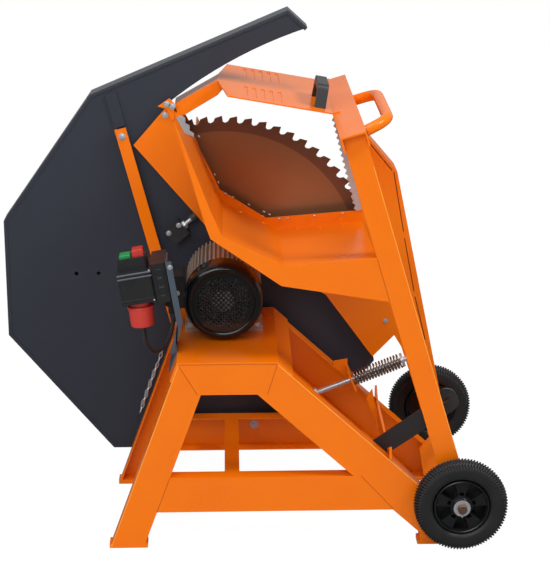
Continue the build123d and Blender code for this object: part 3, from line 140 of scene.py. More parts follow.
def new_finish(name):
    """An empty node material, its tree, and the Object coordinates that its patterns read."""
    material = bpy.data.materials.new(name)
    tree = empty_tree(material)
    return material, tree, add_node(tree, "ShaderNodeTexCoord").outputs["Object"]


def per_metre(size_mm):
    """Noise scale whose features are about a size in millimetres."""
    return 1.0 / (size_mm * MM)


print("orange in linear numbers", [round(c, 3) for c in linear("EB7607")])

# %% [markdown]
# ## Two tones and a relief
# Paint, cast metal and moulded plastic have one thing in common: a broad unevenness that
# drifts in colour and gloss, and a fine relief on top. So one function builds both from
# two noises, and each family of finishes only says how large, deep and glossy they are.

# %% Finish with a drift and a relief


def two_tone(name, tones, roughness, drift_noise, relief_noise, bump, settings):
    """One noise mixes two colours and two roughnesses, a second one is the height of a bump.
    A noise is (size in mm, detail), and the bump is (strength, depth in mm)."""
    material, tree, coords = new_finish(name)
    drift, height = [
        add_node(tree, "ShaderNodeTexNoise", {"Scale": per_metre(size), "Detail": detail},
                 {"Vector": coords}).outputs["Fac"]
        for size, detail in (drift_noise, relief_noise)]
    colour = add_node(tree, "ShaderNodeMix",
                      {"data_type": "RGBA", 6: linear(tones[0]), 7: linear(tones[1])}, {0: drift})
    dull = add_node(tree, "ShaderNodeMapRange",
                    {"To Min": roughness[0], "To Max": roughness[1]}, {"Value": drift})
    relief = add_node(tree, "ShaderNodeBump",
                      {"Strength": bump[0], "Distance": bump[1] * MM}, {"Height": height})
    shader = add_node(tree, "ShaderNodeBsdfPrincipled", settings, {
        "Base Color": colour.outputs[2], "Roughness": dull.outputs["Result"],
        "Normal": relief.outputs["Normal"]})
    add_node(tree, "ShaderNodeOutputMaterial", links={"Surface": shader.outputs["BSDF"]})
    return material


print("two-tone finish ready")

# %% [markdown]
# ## Powder coat
# The sheet metal is powder coated: a dry paint that melts in an oven. It flows into a
# skin with a slight orange peel, about 3 mm from crest to crest, and it lies a little
# thinner and duller in broad patches. Two noises at those two sizes give both.

# %% Powder coats
PAINT_IOR = 1.5


def powder_coat(name, tones, roughness, peel_mm=3.0, peel_depth=0.05, patch_mm=60.0, shine=0.5):
    """Paint whose colour drifts between two tones in patches, with a fine orange peel."""
    return two_tone(name, tones, (roughness - 0.05, roughness + 0.07), (patch_mm, 3.0), (peel_mm, 2.0),
                    (0.25, peel_depth), {"IOR": PAINT_IOR, "Specular IOR Level": shine})


# Orange is clean and smooth, so wide faces show the lamps as soft pale streaks.
orange_coat = powder_coat("orange_powder_coat", ("EB7607", "E56B04"), roughness=0.24,
                          peel_depth=0.012, patch_mm=120.0, shine=0.24)
# Anthracite is a cool dark grey with a satin haze.
housing_coat = powder_coat("anthracite_powder_coat", ("31353F", "2B2F39"), roughness=0.38,
                           peel_mm=2.5, peel_depth=0.06, patch_mm=160.0, shine=0.4)
# Black enamel is soft on the flat bars, and hard with sharp lights on the fan cover.
black_enamel = powder_coat("black_enamel", ("2A2A2C", "303032"), roughness=0.34, peel_depth=0.03)
gloss_enamel = powder_coat("gloss_black_enamel", ("0B0B0C", "101011"), roughness=0.16,
                           peel_mm=4.0, peel_depth=0.02, patch_mm=50.0)
# Slate is a blue-grey satin that sets the switch bracket off from the black switch.
slate_coat = powder_coat("slate_powder_coat", ("4A5662", "424E5A"), roughness=0.36,
                         peel_mm=2.5, shine=0.4)
print("five paints")

# %% [markdown]
# ## Metals
# Zinc plating has a pale, slightly patchy shine. Cast aluminium keeps the grain of its
# mould, about a millimetre across. Drawn wire and turned brass are smooth and bright, and
# the axle is brown with old oil. In all of them colour, gloss and relief share one grain.

# %% Zinc, cast aluminium, drawn steel and brass


def grained_metal(name, tones, roughness, grain_mm=4.0, grain_depth=0.01, metallic=1.0):
    """Metal with two tones in fine patches and a bump of the same grain."""
    grain = (grain_mm, 4.0)
    return two_tone(name, tones, (roughness - 0.08, roughness + 0.08), grain, grain,
                    (0.3, grain_depth), {"Metallic": metallic})


# Passivated zinc has a thin hazy film over the metal, so a share of its light is diffuse.
zinc = grained_metal("zinc_plated_steel", ("DCE0E2", "C6CACD"), roughness=0.40,
                     grain_mm=6.0, grain_depth=0.02, metallic=0.75)
axle_steel = grained_metal("oiled_axle_steel", ("8A6A56", "74584A"), roughness=0.45,
                           grain_mm=5.0, grain_depth=0.02, metallic=0.8)
# The cast skin is pale and dull, with a grain that breaks up its highlights.
cast_aluminium = grained_metal("cast_aluminium", ("D2CABF", "B4ACA2"), roughness=0.50,
                               grain_mm=1.2, grain_depth=0.12, metallic=0.7)
spring_steel = grained_metal("drawn_spring_steel", ("B8B0A8", "8A8178"), roughness=0.26)
brass = grained_metal("turned_brass", ("D9B25A", "B98F3E"), roughness=0.28)
print("five grained metals")

# %% [markdown]
# ## Blade steel
# The blade is ground on a turntable, so its scratches run in circles round the axis and
# stretch the highlights into a fan. A thin brown lacquer tints it, darker on the band of
# the teeth. The distance from the axis is worked out in nodes, and a noise over that one
# number gives the rings. They are drawn coarser than real scratches, so that they show.

# %% Ground blade steel
RING_MM = 1.5
BAND_FROM, BAND_TO = 314.0, 316.0


def ground_blade(name, centre, lacquer_hex, band_hex):
    """Lacquered steel with grinding rings: noise over the distance from the axis. The colour turns
    to that of the toothed band between two radii."""
    material, tree, coords = new_finish(name)
    from_axis = add_node(tree, "ShaderNodeVectorMath",
                         {"operation": "SUBTRACT", 1: (centre[0], 0.0, centre[2])}, {0: coords})
    flat = add_node(tree, "ShaderNodeVectorMath",
                    {"operation": "MULTIPLY", 1: (1.0, 0.0, 1.0)}, {0: from_axis.outputs["Vector"]})
    radius = add_node(tree, "ShaderNodeVectorMath", {"operation": "LENGTH"},
                      {0: flat.outputs["Vector"]}).outputs["Value"]
    rings = add_node(tree, "ShaderNodeTexNoise",
                     {"noise_dimensions": "1D", "Scale": per_metre(RING_MM), "Detail": 3.0},
                     {"W": radius}).outputs["Fac"]
    band = add_node(tree, "ShaderNodeMapRange",
                    {"From Min": BAND_FROM * MM, "From Max": BAND_TO * MM}, {"Value": radius})
    colour = add_node(tree, "ShaderNodeMix",
                      {"data_type": "RGBA", 6: linear(lacquer_hex), 7: linear(band_hex)},
                      {0: band.outputs["Result"]})
    dull = add_node(tree, "ShaderNodeMapRange", {"To Min": 0.26, "To Max": 0.44}, {"Value": rings})
    relief = add_node(tree, "ShaderNodeBump", {"Strength": 0.2, "Distance": 0.02 * MM},
                      {"Height": rings})
    streaks = add_node(tree, "ShaderNodeTangent", {"direction_type": "RADIAL", "axis": "Y"})
    shader = add_node(tree, "ShaderNodeBsdfPrincipled", {"Anisotropic": 0.6, "Metallic": 0.7}, {
        "Base Color": colour.outputs[2], "Roughness": dull.outputs["Result"],
        "Normal": relief.outputs["Normal"], "Tangent": streaks.outputs["Tangent"]})
    add_node(tree, "ShaderNodeOutputMaterial", links={"Surface": shader.outputs["BSDF"]})
    return material


blade_steel = ground_blade("ground_blade_steel", blade_axis, "966E4C", "785642")
print("blade finish centred on", blade_axis)

# %% [markdown]
# ## Plastics and rubber
# The switch boxes and the rims are moulded, with the fine spark-eroded grain of the
# mould. Rubber is duller, and dust settles in it as a pale mottle. The grain is drawn nearly
# a millimetre wide, coarser than the real one, so that it shows at all.

# %% Plastics and rubber
MOTTLE_GRAINS = 40


def moulded(name, tones, roughness, grain_mm=0.8, grain_depth=0.03):
    """Moulded plastic or rubber: a fine grain, and a pale mottle that is 40 grains across."""
    return two_tone(name, tones, (roughness - 0.06, roughness + 0.06), (MOTTLE_GRAINS * grain_mm, 4.0),
                    (grain_mm, 2.0), (0.3, grain_depth), {"IOR": PAINT_IOR})


black_plastic = moulded("black_moulded_plastic", ("1B1C1E", "232426"), 0.42, grain_depth=0.05)
# The buttons and the inlet are polished a little more, and their colour is even.
red_plastic = moulded("red_moulded_plastic", ("CC382C", "BC3026"), 0.38)
green_plastic = moulded("green_moulded_plastic", ("2C9A55", "268A4B"), 0.38)
# Rubber has no clear highlight, only a wide grey sheen.
cable_rubber = moulded("cable_rubber", ("2A2B2E", "34363A"), 0.55, grain_mm=0.6, grain_depth=0.05)
tyre_rubber = moulded("tyre_rubber", ("161617", "202021"), 0.55, grain_mm=1.0, grain_depth=0.08)
# Polypropylene rims are black and waxy. The fan behind its grille is undyed nylon.
rim_plastic = moulded("rim_polypropylene", ("101112", "151618"), 0.30)
fan_nylon = moulded("fan_nylon", ("A89C84", "968B76"), 0.5)
# The lid's ribs get a paler grey plastic: a painted highlight of the light on their crests.
ridge_highlight_plastic = moulded("painted_ridge_highlight", ("4C4E58", "5A5C66"), 0.32)
print("eight moulded finishes")

# %% [markdown]
# ## Dressing the frame
# Each solid keeps its shape and gets the finish that the real piece has. One table of
# finish against piece names is easier to read than sixty lines of assignments.

# %% Finishes on the frame's solids
finishes = [
    (orange_coat, """foot_plates left_legs right_legs top_beams lower_beams tie_tube latch_rail
        platform bearing_plates front_column far_column near_guard_plate far_guard_plate edge_wall
        near_trough far_trough aprons cradle_beam hood strut push_bar spring_bracket"""),
    (housing_coat, "housing_front_panel housing_rear_panel housing_rim"),
    (slate_coat, "switch_bracket"),
    (black_enamel, "latch_lever stop_block fan_cover"),
    (axle_steel, "axle"),
    (zinc, """axle_fasteners housing_spacers stop_screw cradle_pins spring_rod return_spring
        gripping_strips arbor_nut blade_flanges motor_shaft"""),
    (blade_steel, "saw_blade"),
    (cast_aluminium, "motor_body motor_shield"),
    (black_plastic, "bow_handle switch_box switch_body button_head cable_glands terminal_box"),
    (rim_plastic, "front_rim rear_rim"),
    (fan_nylon, "cooling_fan"),
    (cable_rubber, "stop_buffer motor_cable"),
    (tyre_rubber, "front_tyre rear_tyre"),
    (red_plastic, "power_inlet stop_button"),
    (green_plastic, "start_button"),
    (brass, "inlet_pins"),
]
dressed = 0
for finish, names in finishes:
    for node_name in names.split():
        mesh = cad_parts[node_name].data
        mesh.materials.clear()
        mesh.materials.append(finish)
        dressed += 1
print(dressed, "solids dressed")

# %% [markdown]
# ## Motor cable
# A rubber cable hangs in a short loop from the switch to the motor's terminal box. A
# chain of straight tubes would look like bent wire, so it is a smooth curve whose control
# points are the corners of its route.

# %% Motor cable as a smooth curve
CABLE_DIAMETER = 0.010
CABLE_ROUTE = [
    (-0.31498, -0.0450, 0.5038),
    (-0.31560, -0.0450, 0.4600),
    (-0.31400, -0.0440, 0.4150),
    (-0.29720, -0.0110, 0.3800),
    (-0.27200, 0.0365, 0.3800),
    (-0.25425, 0.0700, 0.4150),
    (-0.25425, 0.0700, 0.4500),
]


def cord_curve(name, route, diameter, finish):
    """A smooth curve through a route of control points, with a round section."""
    curve = bpy.data.curves.new(name, "CURVE")
    curve.dimensions = "3D"
    spline = curve.splines.new("NURBS")
    spline.points.add(len(route) - 1)
    spline.points.foreach_set("co", np.column_stack([route, np.ones(len(route))]).ravel())
    spline.order_u = 3
    spline.use_endpoint_u = True
    spline.resolution_u = 24
    curve.bevel_depth = diameter / 2
    curve.bevel_resolution = 6
    curve.use_fill_caps = True
    curve.materials.append(finish)
    return put_in_scene(name, curve)


loop_cable = cord_curve("loop_cable", CABLE_ROUTE, CABLE_DIAMETER, cable_rubber)
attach(loop_cable, "stand")
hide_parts("motor_cable")
cable_route = np.array(CABLE_ROUTE)
runs = np.linalg.norm(np.diff(cable_route, axis=0), axis=1)
print("cable runs add up to", round(runs.sum(), 3), "m")

# %% [markdown]
# ## Making surfaces from rings
# Most small fittings are closed rings carried along a line: a bolt head is a hexagon that
# narrows at its chamfer, a spring is a circle carried along a helix. One function skins a
# stack of rings, and one turns a profile round an axis.

# %% Circles and directions


def unit(vectors):
    """Vectors scaled to length one."""
    return vectors / np.linalg.norm(vectors, axis=-1, keepdims=True)


def around(count):
    """Angles of equal steps round one full turn."""
    return np.arange(count) * 2 * np.pi / count


def circle(angle, first, second):
    """Points of a circle: cos(angle) * first + sin(angle) * second."""
    return np.cos(angle)[..., None] * first + np.sin(angle)[..., None] * second


def across(axis):
    """The unit axis, and two directions square to it and to each other."""
    axis = unit(np.asarray(axis, float))
    helper = np.eye(3)[np.argmin(np.abs(axis))]
    first = unit(np.cross(axis, helper))
    return axis, first, np.cross(axis, first)


print("twelve steps round:", np.degrees(around(12)).round().astype(int).tolist())

# %% Rings and skins


def turned(profile, sides, centre, axis):
    """Rings of a profile of (radius, height) in mm: centre + height * axis + radius * circle."""
    axis, first, second = across(axis)
    radius, height = (np.array(profile, float) * MM).T[:, :, None, None]
    return np.asarray(centre) + height * axis + radius * circle(around(sides), first, second)


def skin(rings, closed=False):
    """Points and face blocks over closed rings [ring, step, xyz]: quads between neighbours, then a
    lid at each end, or one more band of quads from the last ring back to the first."""
    count, steps = rings.shape[:2]
    ring, step = np.meshgrid(np.arange(count if closed else count - 1), np.arange(steps),
                             indexing="ij")
    after, behind = (step + 1) % steps, (ring + 1) % count
    quads = np.stack([ring * steps + step, ring * steps + after,
                      behind * steps + after, behind * steps + step], axis=-1).reshape(-1, 4)
    lids = np.stack([np.arange(steps)[::-1], np.arange(steps) + (count - 1) * steps])
    return rings.reshape(-1, 3), [quads] if closed else [quads, lids]


print("ring helpers ready")

# %% [markdown]
# ## Pieces that ride
# A finished piece is one mesh made of several skins. It is shaded smooth, apart from edges
# sharper than a given angle, and it rides on the body that carries it on the real saw.

# %% From skins to a piece


def add_piece(name, skins, finish, body, smooth_angle=35.0):
    """Join skins into one mesh piece that rides on a body."""
    places, faces, start = [], [], 0
    for points, blocks in skins:
        for block in blocks:
            faces += (block + start).tolist()
        places.append(points)
        start += len(points)
    mesh = bpy.data.meshes.new(name)
    mesh.from_pydata(np.concatenate(places).tolist(), [], faces)
    work = bmesh.new()
    work.from_mesh(mesh)
    bmesh.ops.recalc_face_normals(work, faces=work.faces)
    work.to_mesh(mesh)
    work.free()
    mesh.polygons.foreach_set("use_smooth", np.ones(len(mesh.polygons), bool))
    mesh.set_sharp_from_angle(angle=np.radians(smooth_angle))
    mesh.materials.append(finish)
    piece = put_in_scene(name, mesh)
    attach(piece, body)
    print(name, len(mesh.polygons), "faces")
    return piece


print("piece maker ready")

# %% [markdown]
# ## Return spring
# An open-wound spring on the rod pulls the cradle back. A Screw modifier could wind it,
# but a circle carried along a helix stands square to the wire all the way. The end turns
# of a real spring are ground and touch their seats.

# %% Return spring on its rod
ROD_ANGLE = np.radians(21.4)
ROD_START = place(432.0, 131.0, 320.5)
ROD_WAY = np.array([-np.cos(ROD_ANGLE), 0.0, -np.sin(ROD_ANGLE)])
SPRING_START, SPRING_LENGTH, SPRING_TURNS = 28.0, 119.0, 16
SPRING_RADIUS, WIRE_RADIUS = 15.6, 2.1
STEPS_PER_TURN, WIRE_SIDES = 28, 10


def wound_wire(start, way):
    """Rings of wire: middle = start + way * run + radius * circle; each ring is square to the helix."""
    way, first, second = across(way)
    turn = np.linspace(0.0, 1.0, SPRING_TURNS * STEPS_PER_TURN + 1)
    out = circle(turn * SPRING_TURNS * 2 * np.pi, first, second)
    run = SPRING_START + WIRE_RADIUS + turn * (SPRING_LENGTH - 2 * WIRE_RADIUS)
    middle = start + (run[:, None] * way + SPRING_RADIUS * out) * MM
    side = np.cross(unit(np.gradient(middle, axis=0)), out)
    ring = circle(around(WIRE_SIDES)[None], out[:, None], side[:, None])
    return middle[:, None] + WIRE_RADIUS * MM * ring


wound_spring = add_piece("wound_spring", [skin(wound_wire(ROD_START, ROD_WAY))], spring_steel,
                         "spring_rod")
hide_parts("return_spring")

# %% [markdown]
# ## Tyres
# The wheels have solid rubber tyres. The sidewall bulges smoothly, and short blocks stand
# round the crown in rows, each row half a pitch on from the next. A tyre could be one lug
# copied round by an array, but one grid of angle against section keeps the rubber whole.

# %% Tyres with rows of blocks
WHEEL_X, WHEEL_Z = 504.0, 106.0
WHEEL_Y = {"front": -227.5, "rear": 393.5}
TYRE_OUTER, TYRE_INNER, TYRE_WIDTH = 100.5, 60.0, 46.0
TYRE_LUGS, TYRE_ROWS, LUG_DEPTH = 92, 4, 5.0
SAMPLES_PER_LUG, SECTION_STEPS = 8, 72
SQUARENESS = 0.6
BLOCK_STEEP, GUTTER_STEEP = 4.0, 5.0
CROWN_START, CROWN_FADE, EDGE_ROW = 8.5, 2.5, 0.93


def about_axle(middle_y, turn, reach, aside):
    """Rings round a wheel's axle: a section of reach and aside, in mm, at each angle."""
    x, z = reach * np.cos(turn)[:, None], reach * np.sin(turn)[:, None]
    section = np.stack(np.broadcast_arrays(x, aside, z), axis=-1)
    return place(WHEEL_X, middle_y, WHEEL_Z) + MM * section


def squared(wave):
    """A fuller wave: its sign times its size to a power below one."""
    return np.sign(wave) * np.abs(wave) ** SQUARENESS


def lugged_tyre(middle_y):
    """Radius and width follow a squared-off circle. A block adds its depth where a clipped cosine of
    the angle is high on the crown, and gutters between the rows take it away again."""
    turn, loop = around(TYRE_LUGS * SAMPLES_PER_LUG), around(SECTION_STEPS)
    up, aside = squared(np.sin(loop)), squared(np.cos(loop))
    carcass = TYRE_OUTER - LUG_DEPTH
    radius = (carcass + TYRE_INNER) / 2 + (carcass - TYRE_INNER) / 2 * up
    row = (aside + 1) / 2 * TYRE_ROWS
    offset = np.pi * (np.floor(row) % 2)
    block = np.clip(BLOCK_STEEP * np.cos(TYRE_LUGS * turn[:, None] + offset), -1, 1) / 2 + 0.5
    gutter = np.clip(GUTTER_STEEP * np.abs(row - np.round(row)), 0, 1)
    crown = np.clip((radius - (carcass - CROWN_START)) / CROWN_FADE, 0, 1)
    crown = crown * np.where(np.abs(aside) > EDGE_ROW, 1.0, gutter)
    return about_axle(middle_y, turn, radius + LUG_DEPTH * block * crown, TYRE_WIDTH / 2 * aside)


for end, middle_y in WHEEL_Y.items():
    tyre = add_piece(f"{end}_lugged_tyre", [skin(lugged_tyre(middle_y), closed=True)], tyre_rubber,
                     f"{end}_wheel", smooth_angle=50.0)
    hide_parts(f"{end}_tyre")

# %% [markdown]
# ## Rims
# Each rim is one moulding: a hub, five flat paddles and a thin outer lip, with deep pockets
# between the paddles. Cutting pockets from a disc would need booleans. Here the depth of the
# face is a function of radius and angle, which gives paddles and pockets in one grid.

# %% Moulded rims with five paddles
RIM_PADDLES, RIM_HALF_WIDTH, POCKET_DEPTH = 5, 20.0, 23.0
SAMPLES_PER_PADDLE, PADDLE_PHASE = 48, np.radians(90.0)
POCKET_FROM, ROOT_TO, POCKET_TO = 24.2, 31.3, 53.0
POCKET_STEEP, ROOT_STEEP, ROOT_LEVEL, ROOT_SHARE = 7.0, 12.0, 0.62, 0.6
RIM_OUTWARD = {"front": 1.0, "rear": -1.0}
RIM_LINE = [(11.0, 0.0), (19.0, 0.0), (20.0, 1.0), (20.5, 5.0), (24.0, 6.0), (24.5, 6.2),
            (31.0, 6.4), (31.6, 6.4), (52.6, 7.0), (53.2, 7.0), (54.4, 5.0), (55.6, 1.4),
            (57.2, 0.3), (59.0, 1.2), (60.0, 3.5)]


def paddle_rim(middle_y, outward):
    """Each ring is the face line, deeper in a pocket, then the plain back line. A pocket lies where
    a clipped cosine of five times the angle is low and the radius is between hub and lip. Where it
    is high, a shallower hollow lies at the paddle's root."""
    turn = around(RIM_PADDLES * SAMPLES_PER_PADDLE)
    radius, depth = np.array(RIM_LINE).T
    wave = np.cos(RIM_PADDLES * (turn - PADDLE_PHASE))[:, None]
    pocket = np.clip(0.5 - POCKET_STEEP * wave, 0, 1) * ((radius > POCKET_FROM) & (radius < POCKET_TO))
    root = np.clip(ROOT_STEEP * (wave - ROOT_LEVEL), 0, 1)
    root = root * ((radius > POCKET_FROM) & (radius < ROOT_TO))
    face = depth + POCKET_DEPTH * np.maximum(pocket, ROOT_SHARE * root)
    back = np.broadcast_to(RIM_HALF_WIDTH - depth, face.shape)
    aside = np.concatenate([face - RIM_HALF_WIDTH, back[:, ::-1]], axis=1) * outward
    return about_axle(middle_y, turn, np.concatenate([radius, radius[::-1]]), aside)


for end, middle_y in WHEEL_Y.items():
    rim_rings = paddle_rim(middle_y, RIM_OUTWARD[end])
    rim = add_piece(f"{end}_paddle_rim", [skin(rim_rings, closed=True)], rim_plastic,
                    f"{end}_wheel", smooth_angle=30.0)
    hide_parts(f"{end}_rim")

# %% [markdown]
# ## Cutting plates
# Two pieces are flat sheets with real holes: the fan cover's grille and the latch lever.
# Booleans would do it slowly. A triangulation keeps every hole's edge, so the triangles in
# the holes are left out, and a short wall down each edge gives the sheet its thickness.

# %% Plate cutter
SAME_POINT = 1e-6


def within(points, loop):
    """Even-odd rule: a point is inside a loop where a ray to its right crosses the loop an odd
    number of times."""
    after = np.roll(loop, -1, axis=0)
    x, z = points[:, None, 0], points[:, None, 1]
    rise = np.where(after[:, 1] == loop[:, 1], 1.0, after[:, 1] - loop[:, 1])
    crossing = loop[:, 0] + (z - loop[:, 1]) * (after[:, 0] - loop[:, 0]) / rise
    return (((loop[:, 1] > z) != (after[:, 1] > z)) & (x < crossing)).sum(axis=1) % 2 == 1


def cut_plate(outer, holes, front_y, back_y):
    """Flat plate with holes: the triangles whose middle is in the outer loop and in no hole, once at
    the front and once at the back, with a band of quads down each loop."""
    flat = np.concatenate([outer, *holes])
    first = np.cumsum([0, len(outer)] + [len(hole) for hole in holes])
    corner, after = np.arange(len(flat)), np.arange(len(flat)) + 1
    after[first[1:] - 1] = first[:-1]
    edges = np.column_stack([corner, after]).tolist()
    faces = np.array(delaunay_2d_cdt(flat.tolist(), edges, [], 0, SAME_POINT)[2])
    middle = flat[faces].mean(axis=1)
    kept = within(middle, outer)
    for hole in holes:
        kept &= ~within(middle, hole)
    front, count = faces[kept], len(flat)
    walls = np.column_stack([corner, after, after + count, corner + count])
    sides = [place(flat[:, 0], y, flat[:, 1]) for y in (front_y, back_y)]
    return np.concatenate(sides), [front, front[:, ::-1] + count, walls]


def circle_loop(x, z, radius, sides):
    """Corners of a circle in the upright plane."""
    return np.array([x, z]) + radius * circle(around(sides), np.array([1, 0]), np.array([0, 1]))


print("plate cutter ready")

# %% [markdown]
# ## Fan cover
# A pressed steel cup closes the motor's fan end. Its rim is rounded, and a grille of small
# punched holes in diagonal rows lets the air in. The cup is a turned profile that closes on
# itself, and the grille is a plate cut with the circles of its holes.

# %% Pressed fan cover with its grille
COVER_FRONT, CUP_SIDES, PLATE_SIDES = -64.0, 120, 96
PLATE_RADIUS, PLATE_DEPTH, PLATE_THICK = 68.0, 4.0, 1.2
HOLE_PITCH, HOLE_RADIUS, HOLE_FIELD, HOLE_SIDES, HOLE_ROWS = 7.7, 2.5, 57.0, 12, 12
CUP_LINE = [(67.5, 6.5), (67.0, 4.6), (67.6, 3.2), (69.0, 1.6), (71.5, 0.5), (74.0, 0.2),
            (77.0, 1.0), (80.0, 3.2), (82.6, 6.6), (84.6, 11.5), (85.6, 17.0), (86.0, 24.0),
            (86.0, 57.8), (84.2, 57.8), (84.2, 24.0), (82.6, 15.5), (79.6, 8.6), (76.0, 4.8),
            (72.0, 5.4), (69.0, 6.5)]

rows = np.arange(-HOLE_ROWS, HOLE_ROWS + 1) * HOLE_PITCH
hole_grid = np.stack(np.meshgrid(rows, rows), axis=-1).reshape(-1, 2)
hole_grid = hole_grid @ np.array([[1, 1], [-1, 1]]) / np.sqrt(2)
hole_grid = hole_grid[np.hypot(*hole_grid.T) < HOLE_FIELD]
holes = [circle_loop(x, BLADE_Z + z, HOLE_RADIUS, HOLE_SIDES) for x, z in hole_grid]
plate_front = COVER_FRONT + PLATE_DEPTH
grille = cut_plate(circle_loop(0, BLADE_Z, PLATE_RADIUS, PLATE_SIDES), holes,
                   plate_front, plate_front + PLATE_THICK)
cup_rings = turned(CUP_LINE, CUP_SIDES, place(0, COVER_FRONT, BLADE_Z), (0, 1, 0))
cup = skin(np.swapaxes(cup_rings, 0, 1), closed=True)
pressed_cover = add_piece("pressed_fan_cover", [grille, cup], gloss_enamel, "stand",
                          smooth_angle=40.0)
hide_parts("fan_cover")
print(len(hole_grid), "holes in the grille")

# %% [markdown]
# ## Bolts and screws
# Zinc bolts with washers hold the strut, the motor and the fittings. A hexagon head is a
# six-sided stack of rings with its top corners turned off, so each bolt is one small skin
# and the bolts of one fitting are joined into one piece.

# %% Bolt and screw shapes
FRONT, UP = np.array([0.0, -1.0, 0.0]), np.array([0.0, 0.0, 1.0])
HEAD_HEIGHTS = np.array([0.0, 0.14, 0.14, 0.60, 0.68])
WASHER_SHARE, TOP_SHARE, HEAD_STEPS, PAN_STEPS = 0.95, 0.47, 12, 10
BOLT_EDGE = 25.0


def hex_bolt(spot, axis, flats):
    """Rings of a washer and a head: hexagon radius = half the flats / cos(angle folded to 30 degrees),
    and the top ring is a circle inside the flats, as a turned chamfer leaves it."""
    axis, first, second = across(axis)
    angle = around(HEAD_STEPS)
    hexagon = flats / 2 / np.cos((angle + np.pi / 6) % (np.pi / 3) - np.pi / 6)
    washer, top = np.full(HEAD_STEPS, flats * WASHER_SHARE), np.full(HEAD_STEPS, flats * TOP_SHARE)
    radius = np.stack([washer, washer, hexagon, hexagon, top])[:, :, None]
    height = (HEAD_HEIGHTS * flats)[:, None, None]
    return skin(spot + MM * (height * axis + radius * circle(angle, first, second)))


def pan_screw(spot, axis, radius):
    """Rings of a low domed head: the radius falls as the height rises."""
    dome = [(radius, -0.5), (radius, 0.25 * radius), (0.8 * radius, 0.5 * radius),
            (0.4 * radius, 0.6 * radius)]
    return skin(turned(dome, PAN_STEPS, spot, axis))


def add_bolts(name, bolts, body):
    """One zinc piece of all the bolts of a fitting, with crisp edges."""
    add_piece(name, bolts, zinc, body, smooth_angle=BOLT_EDGE)


print("bolt and screw shapes ready")

# %% [markdown]
# ## Bolts of the stand
# The switch and its bracket lean to the left, so a second measuring function turns a place
# about the bracket's bend. Fittings on the switch are then measured as if it stood upright.

# %% Bolts of the stand
LEAN, BEND_X, BEND_Z = np.radians(9.3), -97.0, 487.0
MOTOR_FEET_X, MOTOR_FEET_Y, MOTOR_FEET_Z = (-72.0, 72.0), (20.0, 138.0), 433.0


def switch_place(x, y, z):
    """A place on the switch: its offset from the bracket's bend, turned by the lean."""
    over, up = x - BEND_X, z - BEND_Z
    return place(BEND_X + over * np.cos(LEAN) - up * np.sin(LEAN), y,
                 BEND_Z + over * np.sin(LEAN) + up * np.cos(LEAN))


# One bolt each on the strut, the rear beam, beside the motor, and on the switch bracket.
stand_bolts = [
    hex_bolt(place(-224.5, 198, 825), FRONT, 9.0),
    hex_bolt(place(68.6, 195, 134), FRONT, 11.0),
    hex_bolt(place(-102.7, 28, 507), FRONT, 6.5),
    hex_bolt(switch_place(-91.5, -130, 612), FRONT, 6.0),
]
stand_bolts += [hex_bolt(place(x, y, MOTOR_FEET_Z), UP, 13.0)
                for x in MOTOR_FEET_X for y in MOTOR_FEET_Y]
add_bolts("stand_bolts", stand_bolts, "stand")

# %% [markdown]
# ## Hood end bracket
# Where the hood meets the guard, a small folded plate is bolted on at the left. A flat
# polygon with a softened edge is enough: three copies of its outline, the first drawn in a
# little towards the middle.

# %% Hood end bracket and its bolts
GUARD_FACE, BRACKET_FACE = 203.0, 198.6
BRACKET_LINE = [(-143.5, 892.6), (-117.5, 910.8), (-106.5, 899.4), (-107.1, 862.0),
                (-113.0, 860.6), (-124.4, 886.6)]
HOOD_BOLTS = [(-122.6, BRACKET_FACE, 897.5), (-127.8, GUARD_FACE, 872.1),
              (-110.5, BRACKET_FACE, 893.0)]


def soft_plate(outline, front_y, back_y, soften):
    """Skin over one outline: drawn in at the front, full size behind the softened edge, full size at
    the back."""
    line = np.array(outline)
    drawn_in = line + unit(line.mean(axis=0) - line) * soften
    levels = [(drawn_in, front_y), (line, front_y + soften), (line, back_y)]
    return skin(np.stack([place(ring[:, 0], y, ring[:, 1]) for ring, y in levels]))


add_piece("hood_end_bracket", [soft_plate(BRACKET_LINE, BRACKET_FACE, GUARD_FACE, 0.8)],
          orange_coat, "cradle")
hood_bolts = [hex_bolt(place(*spot), FRONT, 8.0) for spot in HOOD_BOLTS]
add_bolts("hood_bolts", hood_bolts, "cradle")

# %% [markdown]
# ## Trough screws
# A row of small screws runs along the trough's edge beside the blade, and dimples pressed
# from below keep a log from sliding. Both follow the folded floor: the height of the floor
# is read off its fold line, and each screw stands square to it.

# %% Screws and dimples on the trough
FLOOR_X = np.array([-88.0, -24.0, 0.0, 127.0, 330.0])
FLOOR_Z = np.array([919.0, 750.0, 695.0, 632.0, 648.0])
SCREW_X = [-52.0, -18.0, -10.0, 6.0, 23.0, 59.0, 93.0, 106.0, 128.0, 147.0, 207.0, 272.0]
SCREW_Y, SCREW_RADIUS = 196.0, 3.4
DIMPLE_X, DIMPLE_Y = (40.0, 90.0, 165.0, 215.0, 265.0), (90.0, 150.0)
DIMPLE_RADIUS, DIMPLE_HEIGHT, DIMPLE_STEPS, CORNER_REACH = 4.0, 1.4, 12, 0.22
DIMPLE_SHARES, DIMPLE_RISES = np.array([1.0, 0.8, 0.4]), np.array([-0.3, 0.6, 1.0])


def floor_spot(x, y):
    """A place on the trough floor and its upward normal, from the fold line between two corners."""
    corner = np.clip(np.searchsorted(FLOOR_X, x) - 1, 0, len(FLOOR_X) - 2)
    slope = (FLOOR_Z[corner + 1] - FLOOR_Z[corner]) / (FLOOR_X[corner + 1] - FLOOR_X[corner])
    z = FLOOR_Z[corner] + (x - FLOOR_X[corner]) * slope
    return place(x, y, z), np.array([-slope, 0.0, 1.0]) / np.hypot(slope, 1.0)


